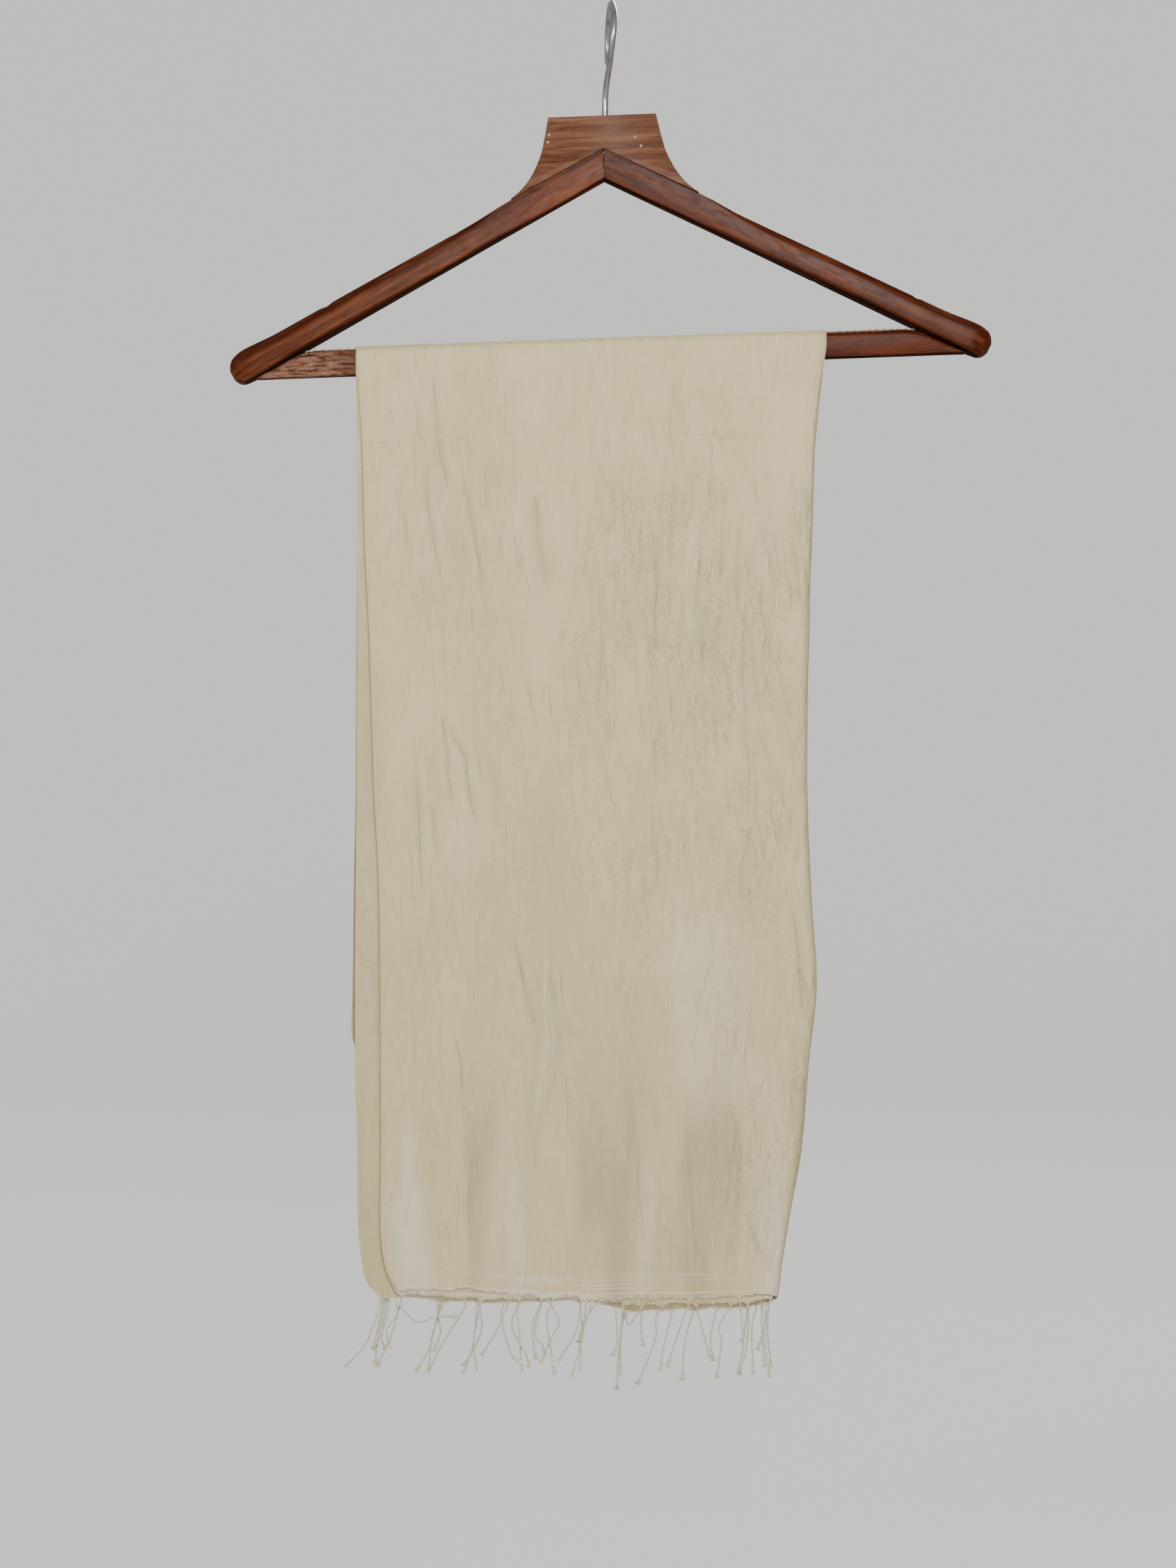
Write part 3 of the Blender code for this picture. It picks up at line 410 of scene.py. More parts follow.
def crease_field(creases, x, z):
    """How far to the side the nearest crease line runs, in millimetres, and how firm it is there."""
    beside = np.full(x.shape, 9.0)
    firm = np.zeros_like(x)
    for crease in creases:
        points = np.array(crease.line, float) * MM
        low = points.min(axis=0) - 3.2 * MM
        high = points.max(axis=0) + 3.2 * MM
        near = np.nonzero((x > low[0]) & (x < high[0]) & (z > low[1]) & (z < high[1]))
        if not len(near[0]):
            continue
        over = x[near]
        up = z[near]
        lengths = np.linalg.norm(np.diff(points, axis=0), axis=1)
        start = 0.0
        gap = np.full(over.shape, 1.0)
        place = np.zeros_like(over)
        for k, length in enumerate(lengths):
            way = (points[k + 1] - points[k]) / length
            held = clamp((over - points[k][0]) * way[0] + (up - points[k][1]) * way[1], 0.0, length)
            apart = np.hypot(over - points[k][0] - way[0] * held, up - points[k][1] - way[1] * held)
            across = way[0] * (up - points[k][1]) - way[1] * (over - points[k][0])
            closer = apart < np.abs(gap)
            gap = np.where(closer, np.copysign(apart, across), gap)
            place = np.where(closer, (start + held) / lengths.sum(), place)
            start += length
        fade = ease(place / 0.25) * ease((1.0 - place) / 0.25) * ease((2.8 * MM - np.abs(gap)) / (1.4 * MM))
        closer = np.abs(gap) < np.abs(beside[near]) * MM
        beside[near] = np.where(closer, gap / MM, beside[near])
        firm[near] = np.where(closer, clamp(abs(crease.depth) / 0.75) * fade, firm[near])
    return beside, firm


def fine_creases(seed, count, low_z, dense):
    """Thin kinked lines that run down the cloth, drawn closest where dense says."""
    dice = random.Random(seed)
    made = []
    while len(made) < count:
        x = dice.uniform(-150.0, 138.0)
        z = dice.uniform(low_z / MM + 8.0, -204.0)
        if dice.random() > dense(x * MM, z * MM):
            continue
        lean = math.tan(math.radians(dice.gauss(2.0, 7.0)))
        steps = dice.randint(3, 9)
        line = [(x, z)]
        for _ in range(steps):
            fall = dice.uniform(2.5, 7.0)
            x += lean * fall + dice.gauss(0.0, 0.75)
            z -= fall
            line.append((x, z))
        made.append(Crease(dice.uniform(0.12, 0.5), 2.0, tuple(line)))
    return tuple(made)


def crinkle_height(seed, count, x, z, dense):
    """Many short soft wrinkles running down the cloth, closest where dense says."""
    dice = random.Random(seed)
    height = np.zeros_like(x)
    low_x, high_x = float(x.min()), float(x.max())
    low_z, high_z = float(z.min()), float(z.max())
    made = 0
    while made < count:
        at_x = dice.uniform(low_x, high_x)
        at_z = dice.uniform(low_z, high_z)
        if dice.random() > dense(at_x, at_z):
            continue
        made += 1
        half_length = dice.uniform(7.0, 30.0) * MM
        half_width = dice.uniform(0.8, 2.0) * MM
        lean = math.radians(dice.gauss(0.0, 11.0))
        bow = dice.uniform(-0.12, 0.12)
        depth = dice.uniform(0.08, 0.36) * MM * dice.choice((-1.0, -1.0, 1.0))
        near = (np.abs(z - at_z) < half_length * 1.1) & (np.abs(x - at_x) < half_length * 0.6 + 4 * half_width)
        if not near.any():
            continue
        over = x[near] - at_x
        down = z[near] - at_z
        along = down * math.cos(lean) + over * math.sin(lean)
        across = over * math.cos(lean) - down * math.sin(lean) - bow * along ** 2 / half_length
        fade = ease(1.0 - np.abs(along) / half_length)
        height[near] += depth * fade * np.exp(-(across / half_width) ** 2)
    return height


def front_density(x, z):
    share = 0.3
    if x > -0.01 and -0.52 < z < -0.27:
        share = 1.0
    if x > 0.05 and -0.68 < z < -0.57:
        share = 0.85
    if -0.13 < x < -0.06 and -0.5 < z < -0.22:
        share = 0.6
    return share


def back_density(x, z):
    return 0.75 if z > -0.45 else 0.4


def rolling_ground(seed, x, z, size, height):
    """A slow uneven swell from a few crossing waves."""
    dice = random.Random(seed)
    total = np.zeros_like(x)
    for _ in range(7):
        heading = dice.uniform(-0.6, 0.6)
        length = size * dice.uniform(0.6, 1.5)
        phase = dice.uniform(0.0, 2 * math.pi)
        total += np.sin((x * math.cos(heading) + z * math.sin(heading) * 0.45) * 2 * math.pi / length + phase)
    return total / 7 * height


# Cloth surfaces

Side = namedtuple("Side", "name sign outline folds creases lean low_z seed")
FRONT_HANG = Side("front", -1.0, FRONT_OUTLINE, FRONT_FOLDS, FRONT_CREASES, "front", HEM_Z, 11)
BACK_HANG = Side("back", 1.0, BACK_OUTLINE, BACK_FOLDS, BACK_CREASES, "back", BACK_END_Z, 23)

Course = namedtuple("Course", "turn z curl")
TURN_STEPS = 14
EDGE_COLUMNS = 24


def hang_rows(side, count, bend_count):
    """Rows from the apex over the bar down to the hem or foot: turn over the bar, height and curl."""
    rows = [Course(math.pi / 2 * (1 - k / bend_count), BEND_START_Z, 0.0) for k in range(bend_count)]
    rows += [Course(0.0, float(z), 0.0) for z in np.linspace(BEND_START_Z, side.low_z, count)]
    if side.name == "back":
        rows += [Course(0.0, side.low_z, math.pi * k / 7) for k in range(1, 8)]
        rows += [Course(0.0, side.low_z + drop * MM, math.pi) for drop in (1.5, 4.0, 8.0)]
    return rows


def pressed_depth(depth, z):
    """The plies lie tight over the bar and part a little as they hang."""
    share = PRESSED + (1 - PRESSED) * ease((BEND_START_Z - z) / (BEND_START_Z - PRESSED_UNTIL_Z))
    return depth * share


def cloth_points(side, row, x, depth, hem):
    """Points of one row, at these x and this far out from the face on the bar."""
    z = np.full_like(x, row.z)
    slope = x * math.tan(TILT)
    out = pressed_depth(depth, z)
    if row.turn > 0.0:
        reach = DRAPE_HALF_GAP + out
        rise = BAR_RISE + out
        turn_y = side.sign * math.cos(row.turn) * reach
        return np.stack([x, turn_y, BEND_START_Z + slope + math.sin(row.turn) * rise], axis=1)
    lean = from_table(HANG_LEAN, "z", side.lean, z)
    out = DRAPE_HALF_GAP + out + lean
    share = max((row.z - side.low_z) / (BEND_START_Z - side.low_z), 0.0)
    height = z + slope * share
    if side.name == "front" and row.z < HEM_RAMP_Z:
        drop = (HEM_RAMP_Z - row.z) / (HEM_RAMP_Z - HEM_Z)
        ramp_share = (HEM_RAMP_Z - side.low_z) / (BEND_START_Z - side.low_z)
        start = HEM_RAMP_Z + slope * ramp_share
        end = from_table(HEM_DROP, "x", hem, x) + hem_edge(hem, x) * ease((drop - 0.85) / 0.15)
        height = blend_between(start, end, drop)
    return np.stack([x, side.sign * out, height], axis=1)


def hem_edge(hem, x):
    """Small waves along a raw hem, and the points where its strands gather it."""
    phase = {"front": 0.4, "middle": 2.3, "rear": 4.1}[hem]
    edge = 0.28 * np.sin(x / MM * 0.9 + phase) + 0.22 * np.sin(x / MM * 2.1 + 2 * phase)
    edge += 0.25 * np.sin(x / MM * 0.37 + 3 * phase)
    for strand in STRANDS:
        if strand.edge == hem:
            edge -= 0.75 * np.exp(-((x / MM - strand.root_x) / 1.6) ** 2)
    return edge * MM


def fold_rolls(row):
    """How far the outer plies part from the middle at the lengthwise fold."""
    if row.turn > 0.0:
        return 0.0, 0.0
    z = np.array([row.z])
    return (float(from_table(HANG_LEAN, "z", "roll_out", z)[0]), float(from_table(HANG_LEAN, "z", "roll_in", z)[0]))


Ply = namedtuple("Ply", "outer_depth inner_depth parting left_front left_rear right_in creasing hems")
OUTER_HALF = Ply(FRONT_PLY, REAR_PLY, 1.0, "front_left", "rear_left", 0.55 * MM, 1.0, ("front", "rear"))
INNER_HALF = Ply(
    FRONT_MIDDLE_PLY, BACK_MIDDLE_PLY, 0.45, "front_left", "front_left", 3.4 * MM, 0.85, ("middle", "middle"),
)


def wrapped_row(side, ply, row, counts, moved):
    """One row of a half: its front ply, the lengthwise fold at the right and its rear ply."""
    z = np.array([row.z])
    rear_left = float(from_table(side.outline, "z", ply.left_rear, z)[0])
    front_left = float(from_table(side.outline, "z", ply.left_front, z)[0])
    if ply is INNER_HALF:
        front_left -= 0.25 * MM
        rear_left -= 0.45 * MM
    out, inwards = (roll * ply.parting for roll in fold_rolls(row))
    radius = (pressed_depth(ply.outer_depth - ply.inner_depth, row.z) + out + inwards) / 2
    last = float(from_table(side.outline, "z", "right", z)[0]) - ply.right_in - radius
    front_x = np.linspace(front_left, last, counts[0])
    wide_columns = counts[2] - EDGE_COLUMNS
    strip_start = front_left + 6.0 * MM
    rear_x = np.concatenate([
        np.linspace(last, strip_start, wide_columns), np.linspace(strip_start, rear_left, EDGE_COLUMNS + 1)[1:],
    ])
    squeeze = pressed_depth(1.0, row.z)
    fold_round = min(BACK_FOLD_ROUND, (ply.outer_depth - ply.inner_depth) / 2)
    curl = -fold_round * (1 - math.cos(row.curl))
    sink = fold_round * math.sin(row.curl)
    offset = (moved + curl) / squeeze
    swell_front = ease((front_x - last + FOLD_ROLL) / FOLD_ROLL) * out / squeeze
    swell_rear = ease((rear_x - last + FOLD_ROLL) / FOLD_ROLL) * inwards / squeeze
    front = cloth_points(side, row, front_x, ply.outer_depth + offset + swell_front, ply.hems[0])
    rear = cloth_points(side, row, rear_x, ply.inner_depth - offset - swell_rear, ply.hems[1])
    middle = (ply.outer_depth + out / squeeze + ply.inner_depth - inwards / squeeze) / 2
    steps = np.arange(1, counts[1]) / counts[1]
    angles = math.pi / 2 - math.pi * steps
    flat_x = np.full_like(steps, last)
    depths = middle + (radius / squeeze + offset) * np.sin(angles)
    turn = cloth_points(side, row, flat_x, depths, ply.hems[0])
    turn_rear = cloth_points(side, row, flat_x, depths, ply.hems[1])
    turn[:, 2] = turn[:, 2] * (1 - steps) + turn_rear[:, 2] * steps
    turn[:, 0] = last + (radius + moved + curl) * np.cos(angles)
    points = np.concatenate([front, turn, rear])
    points[:, 2] -= sink
    facing = np.concatenate([np.ones(len(front)), np.sin(angles), -np.ones(len(rear))])
    return points, facing


def wrapped_sheet(side, ply, rows, counts, moved):
    """Every row of a half as one grid, and which way each of its points faces."""
    made = [wrapped_row(side, ply, row, counts, moved) for row in rows]
    return np.array([points for points, _ in made]), np.array([facing for _, facing in made])


def cloth_relief(side, ply, rows, x, facing):
    """Soft folds, creases and wrinkles outwards from the bar, and how hard each place is creased."""
    z = np.repeat(np.array([[row.z] for row in rows]), x.shape[1], axis=1)
    hanging = np.repeat(np.array([[float(row.turn == 0.0)] for row in rows]), x.shape[1], axis=1)
    free = hanging * ease((BEND_START_Z - z) / (9.0 * MM))
    bent = x + wander(side, x, z)
    creased = crease_height(side.creases, bent, z) * clamp(facing) * ply.creasing
    if side is BACK_HANG:
        creased = creased * ease((z - side.low_z - 3.0 * MM) / (14.0 * MM))
    relief = shared_swell(side, x, z) + creased
    pressed = creased * free
    if ply is OUTER_HALF:
        low = ease((z - side.low_z) / (6.0 * MM))
        dense = front_density if side.name == "front" else back_density
        own = clamp(crinkle_height(side.seed + 1, 900, bent, z, dense), -0.5 * MM, 0.6 * MM)
        fine = own * clamp(facing) * low
        relief = relief + fine
        pressed = (creased + fine) * free
    return relief * free, pressed, shared_swell(side, x, z) * free


def wander(side, x, z):
    """How far the creases stray sideways from their drawn lines."""
    slow = rolling_ground(side.seed + 3, x, z, 0.03, 1.9 * MM)
    return slow + rolling_ground(side.seed + 4, x, z, 0.011, 0.8 * MM)


def shared_swell(side, x, z):
    """The folds that all the plies of a hang share."""
    return fold_height(side.folds, x, z) + rolling_ground(side.seed, x, z, 0.075, 0.6 * MM)


def shell_mesh(name, outer, inner, front_uv, rear_uv, seam_column):
    """A thin closed wall: a fine outer grid, and an inner grid with every second row and column."""
    rows, columns = outer.shape[:2]
    thin = inner[::2, ::2]
    thin_rows, thin_columns = thin.shape[:2]
    points = np.concatenate([outer.reshape(-1, 3), thin.reshape(-1, 3)])
    base = rows * columns
    r, c = np.meshgrid(np.arange(rows - 1), np.arange(columns - 1), indexing="ij")
    corner = (r * columns + c).ravel()
    fine = np.stack([corner, corner + columns, corner + columns + 1, corner + 1], axis=1)
    behind = (c >= seam_column).ravel().tolist()
    r, c = np.meshgrid(np.arange(thin_rows - 1), np.arange(thin_columns - 1), indexing="ij")
    corner = base + (r * thin_columns + c).ravel()
    coarse = np.stack([corner, corner + 1, corner + thin_columns + 1, corner + thin_columns], axis=1)
    behind += (2 * c >= seam_column).ravel().tolist()
    faces = [tuple(face) for face in np.concatenate([fine, coarse]).tolist()]

    def fine_index(row, column):
        return row * columns + column

    def thin_index(row, column):
        return base + row * thin_columns + column

    for k in range(thin_columns - 1):
        c = 2 * k
        low = rows - 1
        faces.append((fine_index(0, c), fine_index(0, c + 1), fine_index(0, c + 2),
                      thin_index(0, k + 1), thin_index(0, k)))
        faces.append((fine_index(low, c + 2), fine_index(low, c + 1), fine_index(low, c),
                      thin_index(thin_rows - 1, k), thin_index(thin_rows - 1, k + 1)))
        behind += [c >= seam_column] * 2
    for k in range(thin_rows - 1):
        r = 2 * k
        far = columns - 1
        faces.append((fine_index(r + 2, 0), fine_index(r + 1, 0), fine_index(r, 0),
                      thin_index(k, 0), thin_index(k + 1, 0)))
        faces.append((fine_index(r, far), fine_index(r + 1, far), fine_index(r + 2, far),
                      thin_index(k + 1, thin_columns - 1), thin_index(k, thin_columns - 1)))
        behind += [False, True]
    both = [np.concatenate([uv.reshape(-1, 2), uv[::2, ::2].reshape(-1, 2)]) for uv in (front_uv, rear_uv)]
    return add_mesh(name, points, faces, both[0], behind=behind, behind_uv=both[1])


def add_mesh(name, points, faces, uv=None, smooth_angle=60.0, behind=None, behind_uv=None):
    """One mesh object with its faces turned outwards and a UV map from its points."""
    mesh = bpy.data.meshes.new(name)
    mesh.from_pydata([tuple(point) for point in np.asarray(points, float).tolist()], [], faces)
    shape = bmesh.new()
    shape.from_mesh(mesh)
    bmesh.ops.recalc_face_normals(shape, faces=shape.faces)
    shape.to_mesh(mesh)
    shape.free()
    if uv is not None:
        layer = mesh.uv_layers.new(name="UVMap")
        corners = np.zeros(len(mesh.loops), dtype=np.int64)
        mesh.loops.foreach_get("vertex_index", corners)
        places = np.asarray(uv, float)[corners]
        if behind is not None:
            counts = np.zeros(len(mesh.polygons), dtype=np.int64)
            mesh.polygons.foreach_get("loop_total", counts)
            chosen = np.repeat(np.array(behind), counts)
            places = np.where(chosen[:, None], np.asarray(behind_uv, float)[corners], places)
        layer.data.foreach_set("uv", places.ravel())
    mesh.shade_smooth()
    if smooth_angle is not None:
        mesh.set_sharp_from_angle(angle=math.radians(smooth_angle))
    item = bpy.data.objects.new(name, mesh)
    bpy.context.scene.collection.objects.link(item)
    return item


def flat_uv(grid, seam_column):
    """Where each point lies on the cloth laid flat, in metres, its threads upright on both plies."""
    down = np.linalg.norm(np.diff(grid[:, grid.shape[1] // 4], axis=0), axis=1)
    down = np.repeat(np.concatenate([[0.0], np.cumsum(down)])[:, None], grid.shape[1], axis=1)
    across = grid[:, :, 0] + 0.2
    steps = np.linalg.norm(np.diff(grid[:, :, :2], axis=1), axis=2)
    travelled = np.concatenate([np.zeros((len(grid), 1)), np.cumsum(steps, axis=1)], axis=1)
    turn = seam_column - TURN_STEPS
    around = across[:, [turn]] + travelled - travelled[:, [turn]]
    columns = np.arange(grid.shape[1])[None, :]
    front = np.where(columns > turn, around, across)
    return np.stack([front, down], axis=2), np.stack([0.9 - grid[:, :, 0], down], axis=2)


def lowest_nearby(field, reach=2):
    """The lowest value within a few rows and columns, so that a coarse wall stays behind a fine one."""
    for axis in (0, 1):
        edges = [(0, 0), (0, 0)]
        edges[axis] = (reach, reach)
        padded = np.pad(field, edges, mode="edge")
        size = field.shape[axis]
        field = np.minimum.reduce([np.take(padded, range(k, k + size), axis) for k in range(2 * reach + 1)])
    return field


def silk_piece(name, side, ply, count, bend_count, counts):
    rows = hang_rows(side, count, bend_count)
    if len(rows) % 2 == 0:
        rows = hang_rows(side, count + 1, bend_count)
    outer, facing = wrapped_sheet(side, ply, rows, counts, CLOTH_HALF)
    inner, _ = wrapped_sheet(side, ply, rows, counts, -CLOTH_HALF)
    relief, pressed, swell = cloth_relief(side, ply, rows, outer[:, :, 0], facing)
    seam_column = counts[0] - 1 + TURN_STEPS
    front_uv, rear_uv = flat_uv(outer, seam_column)
    outer[:, :, 1] += side.sign * relief
    inner[:, :, 1] += side.sign * np.where(facing > 0.0, lowest_nearby(relief), relief)
    piece = shell_mesh(name, outer, inner, front_uv, rear_uv, seam_column)
    front_left = from_table(side.outline, "z", "front_left", np.array([row.z for row in rows]))[:, None]
    beside = np.where(facing < 0.0, outer[:, :, 0] - front_left, 1.0)
    # Painted shade on the rear ply: dark from just beside the front ply's left edge inwards, and a little darker
    # over the strip beyond it.
    shelter = np.maximum(ease((beside + 2.6 * MM) / (2.4 * MM)), 0.3 * (beside < 0.0)) * (facing < 0.0)
    selvage = ease((3.0 * MM - (outer[:, :, 0] - front_left)) / (1.6 * MM)) * (facing > 0.0)
    drape = np.repeat(np.array([[row.z] for row in rows]), counts[0] + TURN_STEPS - 1 + counts[2], axis=1)
    bent = outer[:, :, 0] + wander(side, outer[:, :, 0], drape)
    front_lines = side.creases
    rear_lines = BACK_CREASES
    if ply is OUTER_HALF:
        dense = front_density if side.name == "front" else back_density
        front_lines += fine_creases(side.seed + 5, 400, side.low_z, dense)
        rear_lines += fine_creases(side.seed + 6, 120, side.low_z, back_density)
    beside, firm = crease_field(front_lines, bent, drape)
    rear_beside, rear_firm = crease_field(rear_lines, bent, drape)
    beside = np.where(facing < 0.0, rear_beside, beside)
    firm = np.where(facing < 0.0, rear_firm, firm)
    firm *= ease((BEND_START_Z + 6.0 * MM - drape) / (9.0 * MM))
    right = from_table(side.outline, "z", "right", np.array([row.z for row in rows]))[:, None]
    # Painted shade: darker towards the lengthwise fold at the right, where the cloth turns away from the light.
    turned = 0.5 * ease((outer[:, :, 0] - right + 6.0 * MM) / (6.0 * MM))
    for key, field, thin_field in (
        ("pressed", pressed / MM, pressed / MM), ("swell", swell / MM, swell / MM),
        ("shelter", turned, shelter), ("selvage", selvage, selvage),
        ("crease_beside", beside, beside), ("crease_firm", firm, firm),
    ):
        layer = piece.data.attributes.new(key, "FLOAT", "POINT")
        both = np.concatenate([field.ravel(), thin_field[::2, ::2].ravel()])
        layer.data.foreach_set("value", both.astype(np.float32))
    return piece


# Shader building

class Socket:
    """A node socket that can be used in ordinary maths."""

    def __init__(self, shader, output):
        self.shader = shader
        self.output = output

    def maths(self, operation, first, second=None, third=None):
        values = {0: first}
        if second is not None:
            values[1] = second
        if third is not None:
            values[2] = third
        return self.shader.node("ShaderNodeMath", {"operation": operation}, values)

    def __add__(self, other):
        return self.maths("ADD", self, other)

    def __radd__(self, other):
        return self.maths("ADD", other, self)

    def __sub__(self, other):
        return self.maths("SUBTRACT", self, other)

    def __rsub__(self, other):
        return self.maths("SUBTRACT", other, self)

    def __mul__(self, other):
        return self.maths("MULTIPLY", self, other)

    def __rmul__(self, other):
        return self.maths("MULTIPLY", other, self)

    def __truediv__(self, other):
        return self.maths("DIVIDE", self, other)

    def __pow__(self, other):
        return self.maths("POWER", self, other)

    def __abs__(self):
        return self.maths("ABSOLUTE", self)

    def __rtruediv__(self, other):
        return self.maths("DIVIDE", other, self)

    def above(self, edge, soft):
        """0 below edge and 1 above it, over a soft step."""
        return self.shader.step(self, edge - soft, edge + soft)

    def below(self, edge, soft):
        return self.shader.step(self, edge + soft, edge - soft)


class Finish:
    """One material and the nodes that colour it."""

    def __init__(self, name, **constants):
        self.material = bpy.data.materials.new(name)
        self.material.use_nodes = True
        self.tree = self.material.node_tree
        self.shader = self.tree.nodes["Principled BSDF"]
        for key, value in constants.items():
            self.shader.inputs[key.replace("_", " ")].default_value = value

    def node(self, kind, settings=None, values=None, output=0):
        made = self.tree.nodes.new(kind)
        for key, value in (settings or {}).items():
            if key == "stops":
                self.set_stops(made.color_ramp, value)
            else:
                setattr(made, key, value)
        for key, value in (values or {}).items():
            self.connect(value, made.inputs[key])
        return Socket(self, made.outputs[output])

    def set_stops(self, ramp, stops):
        while len(ramp.elements) > len(stops):
            ramp.elements.remove(ramp.elements[-1])
        while len(ramp.elements) < len(stops):
            ramp.elements.new(1.0)
        for element, (place, colour) in zip(ramp.elements, stops):
            element.position = place
            element.color = (*colour, 1.0)

    def connect(self, value, socket):
        if isinstance(value, Socket):
            self.tree.links.new(value.output, socket)
        elif hasattr(value, "__len__") and len(value) == 3 and len(socket.default_value) == 4:
            socket.default_value = (*value, 1.0)
        else:
            socket.default_value = value

    def place(self):
        return self.node("ShaderNodeTexCoord", output="Object")

    def flat(self):
        return self.node("ShaderNodeTexCoord", output="UV")

    def moved(self, vector, location=(0.0, 0.0, 0.0), scale=(1.0, 1.0, 1.0), turn=(0.0, 0.0, 0.0)):
        return self.node("ShaderNodeMapping", values={
            "Vector": vector, "Location": location, "Rotation": turn, "Scale": scale,
        })

    def part_of(self, vector, axis):
        return self.node("ShaderNodeSeparateXYZ", values={0: vector}, output="XYZ".index(axis))

    def noise(self, vector, scale, detail=2.0, roughness=0.5, distortion=0.0):
        return self.node("ShaderNodeTexNoise", values={
            "Vector": vector, "Scale": scale, "Detail": detail, "Roughness": roughness,
            "Distortion": distortion,
        })

    def step(self, value, low, high):
        return self.node("ShaderNodeMapRange", {"interpolation_type": "SMOOTHSTEP"}, {
            "Value": value, "From Min": low, "From Max": high, "To Min": 0.0, "To Max": 1.0,
        })

    def mix(self, share, first, second, mode="MIX"):
        settings = {"data_type": "RGBA", "blend_type": mode}
        return self.node("ShaderNodeMix", settings, {0: share, 6: first, 7: second}, output=2)

    def minimum(self, first, second):
        return self.node("ShaderNodeMath", {"operation": "MINIMUM"}, {0: first, 1: second})

    def maximum(self, first, second):
        return self.node("ShaderNodeMath", {"operation": "MAXIMUM"}, {0: first, 1: second})

    def spot(self, vector, centre, radius, soft):
        """1 inside a round patch about a point, 0 outside it."""
        gap = self.node("ShaderNodeVectorMath", {"operation": "DISTANCE"}, {0: vector, 1: centre}, output=1)
        return gap.below(radius, soft)

    def bump(self, height, strength, distance, below=None):
        values = {"Height": height, "Strength": strength, "Distance": distance}
        if below is not None:
            values["Normal"] = below
        return self.node("ShaderNodeBump", values=values)

    def wear(self, **links):
        for key, value in links.items():
            self.connect(value, self.shader.inputs[key.replace("_", " ")])
        return self.material


def from_screen(red, green, blue):
    """A colour read off the screen, as linear light."""
    parts = []
    for value in (red, green, blue):
        share = value / 255.0
        parts.append(share / 12.92 if share <= 0.04045 else ((share + 0.055) / 1.055) ** 2.4)
    return tuple(parts)


IVORY = from_screen(236, 219, 173)
IVORY_DEEP = from_screen(215, 197, 148)
IVORY_WARM = from_screen(222, 198, 148)


